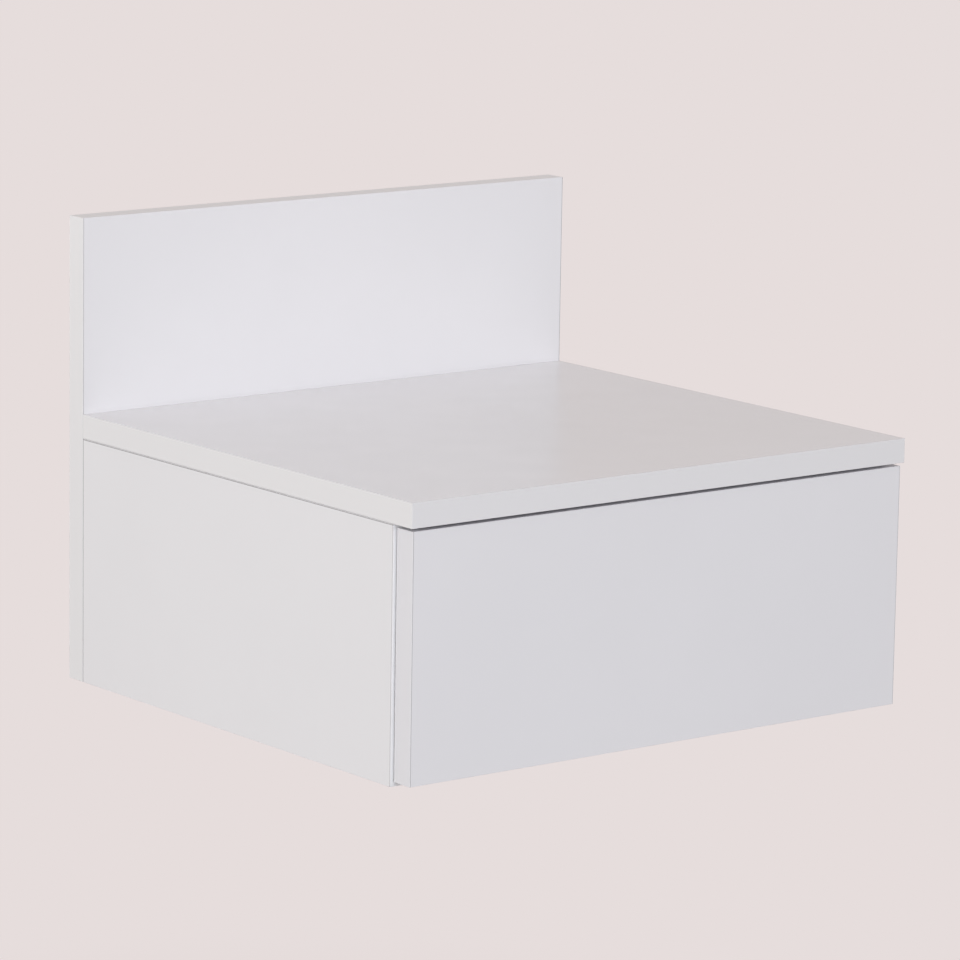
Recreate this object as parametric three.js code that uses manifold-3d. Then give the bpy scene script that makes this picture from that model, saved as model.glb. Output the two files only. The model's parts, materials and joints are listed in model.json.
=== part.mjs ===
// A wall-hung bedside cabinet with one push-to-open drawer and a tall back panel.
// Millimetres. X runs across the front, Y into the wall, Z up.
// The origin is the middle of the back panel's rear face, where it meets the wall.

import * as THREE from 'three';
import { mergeVertices } from 'three/addons/utils/BufferGeometryUtils.js';
import Module from 'manifold-3d';

const wasm = await Module();
wasm.setup();

// Cabinet boards
const cabinetWidth = 400;
const cabinetHeight = 310;
const boardThickness = 16;
const backThickness = 16;
const topDepth = 360;
const upstandHeight = 130;
const seam = 0.2;

// Drawer front
const frontThickness = 16;
const frontRecess = 1.5;
const frontGap = 1.2;
const frontTopGap = 2.2;
const frontBottomLift = 3;
const frontInset = 2;

// Drawer box
const boxLift = 8;
const boxHeadroom = 30;
const boxBoard = 12;
const floorThickness = 3;
const floorHeight = 10;
const grooveDepth = 6;
const grooveClearance = 0.3;

// Dowels glued into the drawer's back
const dowelRadius = 3;
const dowelReach = 8;
const dowelInset = 22;
const dowelClearance = 0.3;

// Runners: three rolled steel channels inside each other, with two rows of balls between each pair
const runnerHeight = 35;
const runnerThickness = 12.7;
const runnerSetback = 2;
const runnerEndGap = 4;
const runnerHeightShare = 0.41;
const sheet = 1;
const ballRadius = 1.5;
const ballClearance = 0.25;
const channelCorner = 1.6;
const lipDegrees = 10;
const drawerLipDegrees = 20;
const cageSheet = 0.6;
const cageCorner = 0.7;
const cageClearance = 0.3;
const cageMargin = 7.5;
const cageEndMargin = 9;
const cageTipShare = 0.7;
const ballsPerRow = 5;
const accessSlotLength = 20;
const accessSlotWidth = 9;

// Countersunk screws
const screwRadius = 1.75;
const screwHeadRadius = 3.5;
const screwHeadHeight = 2.2;
const screwTip = 3;
const screwClearance = 0.3;
const cabinetScrewLength = 14;
const drawerScrewLength = 10.5;
const screwInset = 34;

// Cams and the bolts that they draw in
const camRadius = 7.2;
const camHeight = 12;
const camClearance = 0.3;
const camRecess = 1.2;
const camRecessWidth = 1.6;
const boltReach = 24;
const boltGrip = 11;
const boltThreadRadius = 2.6;
const boltShankRadius = 3;
const boltNeckRadius = 1.8;
const boltNeckLength = 4;
const boltHeadRadius = 3.1;
const boltHeadLength = 3;
const boltTaper = 2;
const boltClearance = 0.3;
const cornerInset = 50;
const backCamShares = { upper: 0.36, lower: 0.72 };
const smallCamRadius = 5.7;
const smallCamHeight = 9;
const frontCamShare = 0.72;

// Holes through the back panel for the wall screws
const wallHoleRadius = 2.5;
const wallHoleInset = 50;
const wallHoleDrop = 22;
const wallHoleLift = 40;
const wallSinkRadius = 5;
const wallSinkDepth = 2.5;

// Push latch
const latchAxisHeight = 14;
const latchBarrelRadius = 7;
const latchBarrelLength = 62;
const latchBaseThickness = 2.5;
const latchBaseWidth = 40;
const latchBaseLength = 40;
const latchScrewSpacing = 28;
const latchPressGap = 1.5;
const latchRearGap = 17;
const latchSpringRoom = 15;
const plungerRadius = 3.6;
const plungerClearance = 0.3;
const plungerOutside = 3.5;
const plungerTipRadius = 5;
const plungerTipLength = 2.5;
const plungerSpare = 1;

// Facets and tool overrun
const overrun = 1;
const boreSides = 12;
const camSides = 14;
const smallSides = 8;
const ballSides = 8;
const ballRings = 4;
const curlSteps = 6;
const cornerSteps = 3;
const mergeTolerance = 1e-5;

// Places that follow from the sizes
const halfWidth = cabinetWidth / 2;
const innerHalf = halfWidth - boardThickness;
const baseZ = -cabinetHeight / 2;
const sideHeight = cabinetHeight - upstandHeight - boardThickness;
const underTopZ = baseZ + sideHeight;
const backFaceY = -backThickness;
const sideDepth = topDepth - frontRecess - frontThickness - frontGap;
const sideFrontY = backFaceY - sideDepth;
const frontRearY = sideFrontY - frontGap;
const frontFaceY = frontRearY - frontThickness;
const floorTopZ = baseZ + boardThickness;
const boxBaseZ = floorTopZ + boxLift;
const boxHeight = underTopZ - boxHeadroom - boxBaseZ;
const latchLength = latchPressGap + plungerTipLength + plungerOutside + latchBarrelLength + latchRearGap;
const boxDepth = sideDepth + frontGap - latchLength;
const boxHalf = innerHalf - runnerThickness;
const boxInnerHalf = boxHalf - boxBoard;
const boxRearY = frontRearY + boxDepth;
const boxBackY = boxRearY - boxBoard;
const runnerZ = boxBaseZ + boxHeight * runnerHeightShare;
const runnerLength = boxDepth - runnerSetback - runnerEndGap;
const cageLength = runnerLength / 2 - cageMargin * 2;
const cageSetback = (runnerLength - cageLength) / 2;
const runnerFrontY = sideFrontY + runnerSetback;
const drawerRunnerFrontY = frontRearY + runnerSetback;

const X = new THREE.Vector3(1, 0, 0);
const Y = new THREE.Vector3(0, 1, 0);
const Z = new THREE.Vector3(0, 0, 1);
const SIDES = { left: -1, right: 1 };

// Materials
const melamine = { color: 0xe4e3e6, roughness: 0.32, metalness: 0 };
const hardboard = { color: 0xe9e8e6, roughness: 0.55, metalness: 0 };
const zincSteel = { color: 0xb9bdc2, roughness: 0.32, metalness: 1 };
const cageSteel = { color: 0x9a9da1, roughness: 0.4, metalness: 1 };
const zincAlloy = { color: 0xa7a8aa, roughness: 0.45, metalness: 1 };
const latchPlastic = { color: 0xd9d9d6, roughness: 0.5, metalness: 0 };

// Solids and cuts
function solid(geometry) {
  const bare = geometry.clone();
  bare.deleteAttribute('normal');
  bare.deleteAttribute('uv');
  const merged = mergeVertices(bare, mergeTolerance);
  const triangles = [];
  for (let first = 0; first < merged.index.count; first += 3) {
    const corners = [0, 1, 2].map((corner) => merged.index.getX(first + corner));
    if (new Set(corners).size === corners.length) {
      triangles.push(...corners);
    }
  }
  return new wasm.Manifold(new wasm.Mesh({
    numProp: 3,
    vertProperties: new Float32Array(merged.attributes.position.array),
    triVerts: new Uint32Array(triangles),
  }));
}

function geometryOf(body) {
  const mesh = body.getMesh();
  const geometry = new THREE.BufferGeometry();
  geometry.setAttribute('position', new THREE.BufferAttribute(mesh.vertProperties, 3));
  geometry.setIndex(new THREE.BufferAttribute(mesh.triVerts, 1));
  geometry.computeVertexNormals();
  return geometry;
}

function cut(body, tools) {
  return tools.reduce((rest, tool) => rest.subtract(tool), body);
}

function boxBetween(low, high) {
  const size = high.clone().sub(low);
  const middle = low.clone().add(high).multiplyScalar(0.5);
  const geometry = new THREE.BoxGeometry(size.x, size.y, size.z);
  geometry.translate(middle.x, middle.y, middle.z);
  return solid(geometry);
}

// A turned solid: the profile's points are (radius, height) pairs along +Z
function turned(profile, sides) {
  const points = profile.map(([radius, height]) => new THREE.Vector2(radius, height));
  const geometry = new THREE.LatheGeometry(points, sides);
  geometry.rotateX(Math.PI / 2);
  return geometry;
}

// A turned solid set with its foot at a point and its axis along a direction
function turnedAlong(profile, sides, foot, direction) {
  const geometry = turned(profile, sides);
  geometry.applyQuaternion(new THREE.Quaternion().setFromUnitVectors(Z, direction));
  geometry.translate(foot.x, foot.y, foot.z);
  return solid(geometry);
}

function bore(radius, foot, direction, depth, sides = boreSides) {
  const profile = [[0, -overrun], [radius, -overrun], [radius, depth], [0, depth]];
  return turnedAlong(profile, sides, foot, direction);
}

function point(x, y, z) {
  return new THREE.Vector3(x, y, z);
}

function step(from, direction, distance) {
  return from.clone().addScaledVector(direction, distance);
}

function group(parent) {
  const child = new THREE.Group();
  parent.add(child);
  return child;
}

function piece(parent, name, material, geometry, place = point(0, 0, 0)) {
  const mesh = new THREE.Mesh(geometry, new THREE.MeshStandardMaterial(material));
  mesh.name = name;
  mesh.position.copy(place);
  parent.add(mesh);
  return mesh;
}

// A board between two corners, with its cuts and any joined pins given in the part's own frame
function board(parent, name, material, low, high, cuts = [], pins = []) {
  const whole = pins.reduce((rest, pin) => rest.add(pin), cut(boxBetween(low, high), cuts));
  const middle = low.clone().add(high).multiplyScalar(0.5);
  const geometry = geometryOf(whole);
  geometry.translate(-middle.x, -middle.y, -middle.z);
  piece(parent, name, material, geometry, middle);
}

// Screws
function screwProfile(length, grow) {
  return [
    [0, -length - grow],
    [grow, -length - grow],
    [screwRadius + grow, screwTip - length],
    [screwRadius + grow, -screwHeadHeight],
    [screwHeadRadius + grow, 0],
    [screwHeadRadius + grow, grow],
    [0, grow],
  ];
}

function screwBody(length) {
  return geometryOf(solid(turned([
    [0, -length],
    [screwRadius, screwTip - length],
    [screwRadius, -screwHeadHeight],
    [screwHeadRadius, 0],
    [0, 0],
  ], smallSides)));
}

// The head's flat face lies at the foot, and the screw runs against the direction that its head faces
function screwHole(screw) {
  return turnedAlong(screwProfile(screw.length, screwClearance), smallSides, screw.foot, screw.facing);
}

function addScrew(parent, name, screw) {
  const mesh = piece(parent, name, zincSteel, screwBody(screw.length), screw.foot);
  mesh.quaternion.setFromUnitVectors(Z, screw.facing);
}

// Cam joints: a bolt stands in one board and a cam in the edge of the other draws it in.
// at is where the bolt crosses the seam, along points into the board with the cam, and face is
// the outward normal of the board face that the cam is let into.
function camCuts(joint) {
  const radius = joint.camRadius + camClearance;
  const crossing = step(joint.at, joint.along, boltReach);
  const mouth = step(crossing, joint.face, joint.half);
  const inward = joint.face.clone().negate();
  return [
    bore(radius, mouth, inward, joint.camHeight + camClearance),
    bore(boltShankRadius + boltClearance, joint.at, joint.along, boltReach, smallSides),
  ];
}

function boltCut(joint) {
  const outward = joint.along.clone().negate();
  return bore(boltThreadRadius + boltClearance, joint.at, outward, boltGrip + boltClearance, smallSides);
}

function boltBody() {
  const headBase = boltReach - boltHeadLength / 2;
  return geometryOf(solid(turned([
    [0, -boltGrip],
    [boltThreadRadius / 2, -boltGrip],
    [boltThreadRadius, boltTaper - boltGrip],
    [boltThreadRadius, 0],
    [boltShankRadius, 0],
    [boltShankRadius, headBase - boltNeckLength],
    [boltNeckRadius, headBase - boltNeckLength],
    [boltNeckRadius, headBase],
    [boltHeadRadius, headBase],
    [boltHeadRadius, headBase + boltHeadLength],
    [0, headBase + boltHeadLength],
  ], smallSides)));
}

// Local frame of a cam: +Z out of the board face, +X towards the seam that the bolt comes from
function camBody(joint) {
  const headRoom = boltHeadRadius + boltClearance;
  const neckRoom = boltNeckRadius + boltClearance;
  const headEnd = boltHeadLength / 2 + boltClearance;
  const barrel = solid(turned([
    [0, -joint.camHeight],
    [joint.camRadius, -joint.camHeight],
    [joint.camRadius, 0],
    [0, 0],
  ], camSides));
  const axis = point(0, 0, -joint.half);
  const headPocketFoot = step(axis, X, overrun - headEnd);
  const headPocket = bore(headRoom, headPocketFoot, X, headEnd * 2 - overrun, smallSides);
  const neckSlot = boxBetween(
    point(0, -neckRoom, -joint.camHeight - overrun),
    point(joint.camRadius + overrun, neckRoom, neckRoom - joint.half),
  );
  const headWindow = boxBetween(
    point(-headEnd, -headRoom, -joint.camHeight - overrun),
    point(headEnd, headRoom, -joint.half),
  );
  const shankRoom = bore(
    boltShankRadius + boltClearance,
    step(axis, X, boltHeadLength / 2 + boltNeckLength),
    X,
    joint.camRadius,
    smallSides,
  );
  const recesses = [X, Y].map((direction) => {
    const along = direction.clone().multiplyScalar(joint.camRadius / 2);
    const across = point(direction.y, direction.x, 0).multiplyScalar(camRecessWidth / 2);
    const reach = along.add(across);
    return boxBetween(point(-reach.x, -reach.y, -camRecess), point(reach.x, reach.y, overrun));
  });
  return geometryOf(cut(barrel, [headPocket, headWindow, neckSlot, shankRoom, ...recesses]));
}

function addCamJoint(camParent, boltParent, name, joint) {
  const crossing = step(joint.at, joint.along, boltReach);
  const mouth = step(crossing, joint.face, joint.half);
  const cam = piece(camParent, `${name}_cam`, zincAlloy, camBody(joint), mouth);
  const towardsSeam = joint.along.clone().negate();
  const sideways = joint.face.clone().cross(towardsSeam);
  cam.quaternion.setFromRotationMatrix(new THREE.Matrix4().makeBasis(towardsSeam, sideways, joint.face));
  const bolt = piece(boltParent, `${name}_bolt`, zincSteel, boltBody(), joint.at);
  bolt.quaternion.setFromUnitVectors(Z, joint.along);
}

function boardJoint(at, along, face) {
  return { at, along, face, half: boardThickness / 2, camRadius, camHeight };
}

// Where the cabinet's cam joints lie
const insetYs = { front: sideFrontY + cornerInset, rear: backFaceY - cornerInset };
const down = Z.clone().negate();
const forward = Y.clone().negate();
const topJoints = {};
const bottomJoints = {};
const backJoints = {};
for (const [side, sign] of Object.entries(SIDES)) {
  const inward = X.clone().multiplyScalar(-sign);
  const panelMiddle = sign * (halfWidth - boardThickness / 2);
  for (const [end, y] of Object.entries(insetYs)) {
    const topSeam = point(panelMiddle, y, underTopZ);
    const bottomSeam = point(sign * innerHalf, y, baseZ + boardThickness / 2);
    topJoints[`top_${side}_${end}`] = boardJoint(topSeam, down, inward);
    bottomJoints[`bottom_${side}_${end}`] = boardJoint(bottomSeam, inward, down);
  }
  for (const [level, share] of Object.entries(backCamShares)) {
    const backSeam = point(panelMiddle, backFaceY, underTopZ - sideHeight * share);
    backJoints[`back_${side}_${level}`] = boardJoint(backSeam, forward, inward);
  }
}
const frontJoints = {};
for (const [side, sign] of Object.entries(SIDES)) {
  frontJoints[`drawer_front_${side}`] = {
    at: point(sign * (boxHalf - boxBoard / 2), frontRearY, boxBaseZ + boxHeight * frontCamShare),
    along: Y,
    face: X.clone().multiplyScalar(-sign),
    half: boxBoard / 2,
    camRadius: smallCamRadius,
    camHeight: smallCamHeight,
  };
}

// Where the runners' screws lie
const screwSteps = { front: screwInset, rear: runnerLength - screwInset };
const runnerScrews = {};
for (const [side, sign] of Object.entries(SIDES)) {
  const inward = X.clone().multiplyScalar(-sign);
  for (const [end, distance] of Object.entries(screwSteps)) {
    runnerScrews[`runner_${side}_cabinet_screw_${end}`] = {
      side,
      home: 'cabinet',
      length: cabinetScrewLength,
      facing: inward,
      foot: point(sign * (innerHalf - sheet), runnerFrontY + distance, runnerZ),
    };
    runnerScrews[`runner_${side}_drawer_screw_${end}`] = {
      side,
      home: 'drawer',
      length: drawerScrewLength,
      facing: inward.clone().negate(),
      foot: point(sign * (boxHalf + sheet), drawerRunnerFrontY + distance, runnerZ),
    };
  }
}

function screwsOf(side, home) {
  return Object.entries(runnerScrews).filter(([, screw]) => screw.side === side && screw.home === home);
}

// Where the latch's screws lie
const latchTipY = boxRearY + latchPressGap;
const latchFrontY = latchTipY + plungerTipLength + plungerOutside;
const latchMiddleY = latchFrontY + latchBarrelLength / 2;
const latchBaseZ = floorTopZ + seam;
const latchAxisZ = latchBaseZ + latchAxisHeight;
const latchScrews = {};
for (const [side, sign] of Object.entries(SIDES)) {
  latchScrews[`push_latch_screw_${side}`] = {
    length: cabinetScrewLength,
    facing: Z,
    foot: point(sign * latchScrewSpacing / 2, latchMiddleY, latchBaseZ + latchBaseThickness),
  };
}

// The cabinet's boards
function buildCabinet(parent) {
  const topCams = Object.values(topJoints);
  const bottomCams = Object.values(bottomJoints);
  const backCams = Object.values(backJoints);
  board(
    parent,
    'top_panel',
    melamine,
    point(-halfWidth, backFaceY - topDepth, underTopZ),
    point(halfWidth, backFaceY - seam, underTopZ + boardThickness),
    topCams.map(boltCut),
  );
  board(
    parent,
    'backboard',
    melamine,
    point(-halfWidth, backFaceY, baseZ),
    point(halfWidth, 0, baseZ + cabinetHeight),
    [...backCams.map(boltCut), ...wallHoles()],
  );
  for (const [side, sign] of Object.entries(SIDES)) {
    const own = [topJoints, backJoints].flatMap((joints) => Object.entries(joints))
      .filter(([name]) => name.includes(`_${side}_`))
      .flatMap(([, joint]) => camCuts(joint));
    const bolts = Object.entries(bottomJoints)
      .filter(([name]) => name.includes(`_${side}_`))
      .map(([, joint]) => boltCut(joint));
    const xs = [sign * innerHalf, sign * halfWidth].sort((a, b) => a - b);
    board(
      parent,
      `side_panel_${side}`,
      melamine,
      point(xs[0], sideFrontY, baseZ),
      point(xs[1], backFaceY - seam, underTopZ - seam),
      [...own, ...bolts, ...screwsOf(side, 'cabinet').map(([, screw]) => screwHole(screw))],
    );
  }
  board(
    parent,
    'bottom_panel',
    melamine,
    point(seam - innerHalf, sideFrontY, baseZ),
    point(innerHalf - seam, backFaceY - seam, floorTopZ),
    [...bottomCams.flatMap(camCuts), ...Object.values(latchScrews).map(screwHole)],
  );
  for (const joints of [topJoints, bottomJoints, backJoints]) {
    for (const [name, joint] of Object.entries(joints)) {
      addCamJoint(parent, parent, name, joint);
    }
  }
}

// Clearance holes for wall screws, sunk for their heads, reached from inside the cabinet
function wallHoles() {
  const holes = [];
  for (const sign of Object.values(SIDES)) {
    for (const z of [underTopZ - wallHoleDrop, floorTopZ + wallHoleLift]) {
      const mouth = point(sign * (innerHalf - wallHoleInset), backFaceY, z);
      holes.push(turnedAlong([
        [0, -overrun],
        [wallSinkRadius, -overrun],
        [wallSinkRadius, 0],
        [wallHoleRadius, wallSinkDepth],
        [wallHoleRadius, backThickness + overrun],
        [0, backThickness + overrun],
      ], boreSides, mouth, Y));
    }
  }
  return holes;
}

// The drawer's boards
function floorGroove() {
  const reach = boxInnerHalf + grooveDepth;
  const underFloorZ = boxBaseZ + floorHeight;
  const overFloorZ = underFloorZ + floorThickness;
  return boxBetween(
    point(-reach, frontRearY - grooveDepth, underFloorZ - grooveClearance),
    point(reach, boxBackY + grooveDepth, overFloorZ + grooveClearance),
  );
}

function dowels(grow) {
  const pins = [];
  for (const sign of Object.values(SIDES)) {
    for (const z of [boxBaseZ + dowelInset, boxBaseZ + boxHeight - dowelInset]) {
      const root = point(sign * (boxInnerHalf - seam), boxRearY - boxBoard / 2, z);
      const outward = X.clone().multiplyScalar(sign);
      pins.push(bore(dowelRadius + grow, root, outward, dowelReach + grow, smallSides));
    }
  }
  return pins;
}

function buildDrawer(parent) {
  const groove = floorGroove();
  const boxTopZ = boxBaseZ + boxHeight;
  board(
    parent,
    'drawer_front',
    melamine,
    point(frontInset - halfWidth, frontFaceY, baseZ + frontBottomLift),
    point(halfWidth - frontInset, frontRearY, underTopZ - frontTopGap),
    [groove, ...Object.values(frontJoints).map(boltCut)],
  );
  for (const [side, sign] of Object.entries(SIDES)) {
    const xs = [sign * boxInnerHalf, sign * boxHalf].sort((a, b) => a - b);
    board(
      parent,
      `drawer_side_${side}`,
      melamine,
      point(xs[0], frontRearY + seam, boxBaseZ),
      point(xs[1], boxRearY, boxTopZ),
      [
        groove,
        ...dowels(dowelClearance),
        ...camCuts(frontJoints[`drawer_front_${side}`]),
        ...screwsOf(side, 'drawer').map(([, screw]) => screwHole(screw)),
      ],
    );
  }
  board(
    parent,
    'drawer_back',
    melamine,
    point(seam - boxInnerHalf, boxBackY, boxBaseZ),
    point(boxInnerHalf - seam, boxRearY, boxTopZ),
    [groove],
    dowels(0),
  );
  const reach = boxInnerHalf + grooveDepth - grooveClearance;
  const floorLow = point(-reach, frontRearY - grooveDepth + grooveClearance, boxBaseZ + floorHeight);
  const floorHigh = point(reach, boxBackY + grooveDepth - grooveClearance, floorLow.z + floorThickness);
  board(parent, 'drawer_bottom', hardboard, floorLow, floorHigh);
  for (const [name, joint] of Object.entries(frontJoints)) {
    addCamJoint(parent, parent, name, joint);
  }
}

// Rolled channels are drawn as a centre line in the plane across the runner. The first axis runs
// from the cabinet side to the drawer, the second is height, and the line is mirrored about zero.
const raceRadius = ballRadius + ballClearance + sheet / 2;
const cabinetFlangeV = runnerHeight / 2 - sheet / 2;
const outerBallV = cabinetFlangeV - raceRadius;
const middleFlangeV = outerBallV - raceRadius;
const innerBallV = middleFlangeV - raceRadius;
const drawerFlangeV = innerBallV - raceRadius;
const cageStepU = cageSheet + cageClearance * 2;
const cabinetWebU = sheet / 2;
const outerCageU = sheet + cageClearance + cageSheet / 2;
const middleWebU = cabinetWebU + sheet + cageStepU;
const innerCageU = outerCageU + sheet + cageStepU;
const drawerWebU = runnerThickness - sheet / 2;
const innerBallU = innerCageU + cageSheet / 2 + cageClearance + sheet / 2 + raceRadius;
const outerBallU = innerBallU - sheet;
const lipAngle = THREE.MathUtils.degToRad(lipDegrees);
const drawerLipAngle = THREE.MathUtils.degToRad(drawerLipDegrees);
const quarterTurn = Math.PI / 2;

function arcPoints(centre, radius, from, to, steps) {
  const curve = new THREE.EllipseCurve(centre.x, centre.y, radius, radius, from, to, to < from, 0);
  return curve.getPoints(steps);
}

// One half of a channel's line: its curled lip first, round the ball, then the web's corner
function channelHalf(webU, flangeV, ball, lipFrom, lipTo) {
  const opens = Math.sign(ball.x - webU);
  const lip = arcPoints(ball, raceRadius, lipFrom, lipTo, curlSteps);
  const bendCentre = new THREE.Vector2(webU + opens * channelCorner, flangeV - channelCorner);
  const bendTo = opens > 0 ? Math.PI : 0;
  return [...lip, ...arcPoints(bendCentre, channelCorner, quarterTurn, bendTo, cornerSteps)];
}

function cageHalf(webU, ball) {
  const tip = new THREE.Vector2(ball.x + ballRadius * cageTipShare, ball.y);
  const bendCentre = new THREE.Vector2(webU + cageCorner, ball.y - cageCorner);
  return [tip, ...arcPoints(bendCentre, cageCorner, quarterTurn, Math.PI, cornerSteps)];
}

function mirrored(half) {
  const lower = half.map((spot) => new THREE.Vector2(spot.x, -spot.y)).reverse();
  return [...half, ...lower];
}

// A strip of even thickness along a centre line, with mitred corners
function stripShape(line, thickness) {
  const normals = line.slice(1).map((spot, index) => {
    const along = spot.clone().sub(line[index]).normalize();
    return new THREE.Vector2(-along.y, along.x);
  });
  const edge = (sign) => line.map((spot, index) => {
    const before = normals[Math.max(index - 1, 0)];
    const after = normals[Math.min(index, normals.length - 1)];
    const mitre = before.clone().add(after).normalize();
    const reach = thickness / 2 / mitre.dot(after);
    return spot.clone().addScaledVector(mitre, sign * reach);
  });
  return new THREE.Shape([...edge(1), ...edge(-1).reverse()]);
}

// Extruded along the runner. Local X is across from the cabinet side, Y runs back, Z is height.
function extrudedAlongRunner(shape, length) {
  const geometry = new THREE.ExtrudeGeometry(shape, { depth: length, bevelEnabled: false });
  geometry.rotateX(Math.PI / 2);
  geometry.translate(0, length, 0);
  return solid(geometry);
}

function accessSlot(distance) {
  const half = accessSlotWidth / 2;
  const straight = accessSlotLength - accessSlotWidth;
  const across = sheet + overrun;
  const middle = point(middleWebU - across, distance, 0);
  const ends = [-straight / 2, straight / 2].map((shift) => (
    bore(half, step(middle, Y, shift), X, across * 2, boreSides)
  ));
  const low = point(middleWebU - across, distance - straight / 2, -half);
  const high = point(middleWebU + across, distance + straight / 2, half);
  return [boxBetween(low, high), ...ends];
}

function webHole(home, webU, distance) {
  const facing = home === 'cabinet' ? X : X.clone().negate();
  const foot = point(webU, distance, 0).addScaledVector(facing, sheet / 2);
  const length = home === 'cabinet' ? cabinetScrewLength : drawerScrewLength;
  return turnedAlong(screwProfile(length, screwClearance), smallSides, foot, facing);
}

function ballCage(webU, spot) {
  let cage = extrudedAlongRunner(stripShape(mirrored(cageHalf(webU, spot)), cageSheet), cageLength);
  const pitch = (cageLength - cageEndMargin * 2) / (ballsPerRow - 1);
  for (let index = 0; index < ballsPerRow; index += 1) {
    for (const level of [-spot.y, spot.y]) {
      const ball = new THREE.SphereGeometry(ballRadius, ballSides, ballRings);
      ball.translate(spot.x, cageEndMargin + index * pitch, level);
      cage = cage.add(solid(ball));
    }
  }
  return cage;
}

// Each runner is built for the right side and mirrored for the left
function runnerPieces() {
  const lipFrom = drawerLipAngle - Math.PI;
  const outerBall = new THREE.Vector2(outerBallU, outerBallV);
  const innerBall = new THREE.Vector2(innerBallU, innerBallV);
  const cabinetLine = channelHalf(cabinetWebU, cabinetFlangeV, outerBall, -lipAngle, quarterTurn);
  const middleLine = channelHalf(middleWebU, middleFlangeV, innerBall, -lipAngle, quarterTurn);
  const drawerLine = channelHalf(drawerWebU, drawerFlangeV, innerBall, lipFrom, -quarterTurn);
  const member = (line) => extrudedAlongRunner(stripShape(mirrored(line), sheet), runnerLength);
  const distances = Object.values(screwSteps);
  return {
    cabinet_member: cut(member(cabinetLine), distances.map((d) => webHole('cabinet', cabinetWebU, d))),
    middle_member: cut(member(middleLine), distances.flatMap(accessSlot)),
    drawer_member: cut(member(drawerLine), distances.map((d) => webHole('drawer', drawerWebU, d))),
    outer_cage: ballCage(outerCageU, outerBall),
    inner_cage: ballCage(innerCageU, innerBall),
  };
}

const runnerFronts = {
  cabinet_member: runnerFrontY,
  middle_member: runnerFrontY,
  drawer_member: drawerRunnerFrontY,
  outer_cage: runnerFrontY + cageSetback,
  inner_cage: runnerFrontY + cageSetback,
};

function buildRunners(parent) {
  const pieces = runnerPieces();
  for (const [side, sign] of Object.entries(SIDES)) {
    const runner = group(parent);
    runner.position.set(sign * innerHalf, 0, runnerZ);
    for (const [name, body] of Object.entries(pieces)) {
      const material = name.includes('cage') ? cageSteel : zincSteel;
      const geometry = geometryOf(sign > 0 ? body.mirror([1, 0, 0]) : body);
      piece(runner, `runner_${side}_${name}`, material, geometry, point(0, runnerFronts[name], 0));
    }
  }
  for (const [name, screw] of Object.entries(runnerScrews)) {
    addScrew(parent, name, screw);
  }
}

// The push latch stands on the cabinet's floor behind the drawer
function buildLatch(parent) {
  const latch = group(parent);
  latch.position.set(0, latchFrontY, latchAxisZ);
  const barrel = new THREE.Shape();
  barrel.moveTo(-latchBarrelRadius, -latchAxisHeight);
  barrel.lineTo(latchBarrelRadius, -latchAxisHeight);
  barrel.lineTo(latchBarrelRadius, 0);
  barrel.absarc(0, 0, latchBarrelRadius, 0, Math.PI, false);
  const barrelGeometry = new THREE.ExtrudeGeometry(barrel, {
    depth: latchBarrelLength,
    bevelEnabled: false,
    curveSegments: boreSides,
  });
  barrelGeometry.rotateX(Math.PI / 2);
  barrelGeometry.translate(0, latchBarrelLength, 0);
  const baseMiddle = latchBarrelLength / 2;
  const base = boxBetween(
    point(-latchBaseWidth / 2, baseMiddle - latchBaseLength / 2, -latchAxisHeight),
    point(latchBaseWidth / 2, baseMiddle + latchBaseLength / 2, latchBaseThickness - latchAxisHeight),
  );
  const holes = Object.values(latchScrews).map((screw) => (
    screwHole({ ...screw, foot: screw.foot.clone().sub(latch.position) })
  ));
  const boreDepth = latchBarrelLength - latchSpringRoom;
  const plungerInside = boreDepth - plungerSpare;
  const plungerBore = bore(plungerRadius + plungerClearance, point(0, 0, 0), Y, boreDepth);
  const housing = cut(solid(barrelGeometry).add(base), [plungerBore, ...holes]);
  piece(latch, 'push_latch_housing', latchPlastic, geometryOf(housing));
  const tipBase = plungerOutside;
  const plunger = turned([
    [0, -plungerInside],
    [plungerRadius, -plungerInside],
    [plungerRadius, tipBase],
    [plungerTipRadius, tipBase],
    [plungerTipRadius, tipBase + plungerTipLength],
    [0, tipBase + plungerTipLength],
  ], boreSides);
  const mesh = piece(latch, 'push_latch_plunger', latchPlastic, geometryOf(solid(plunger)));
  mesh.quaternion.setFromUnitVectors(Z, Y.clone().negate());
  for (const [name, screw] of Object.entries(latchScrews)) {
    addScrew(parent, name, screw);
  }
}

const nightstand = new THREE.Group();
buildCabinet(group(nightstand));
buildDrawer(group(nightstand));
buildRunners(group(nightstand));
buildLatch(group(nightstand));

export default nightstand;
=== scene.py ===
"""A wall-hung bedside cabinet with one push-to-open drawer, dressed for rendering.

Metres, in the part's own frame: X runs across the front, Y into the wall and Z up. Sizes of pieces come
from the frame's boxes, and the rest are the named values below.
"""

import json
import math
from collections import namedtuple

import bmesh
import bpy
from mathutils import Matrix, Vector


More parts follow.
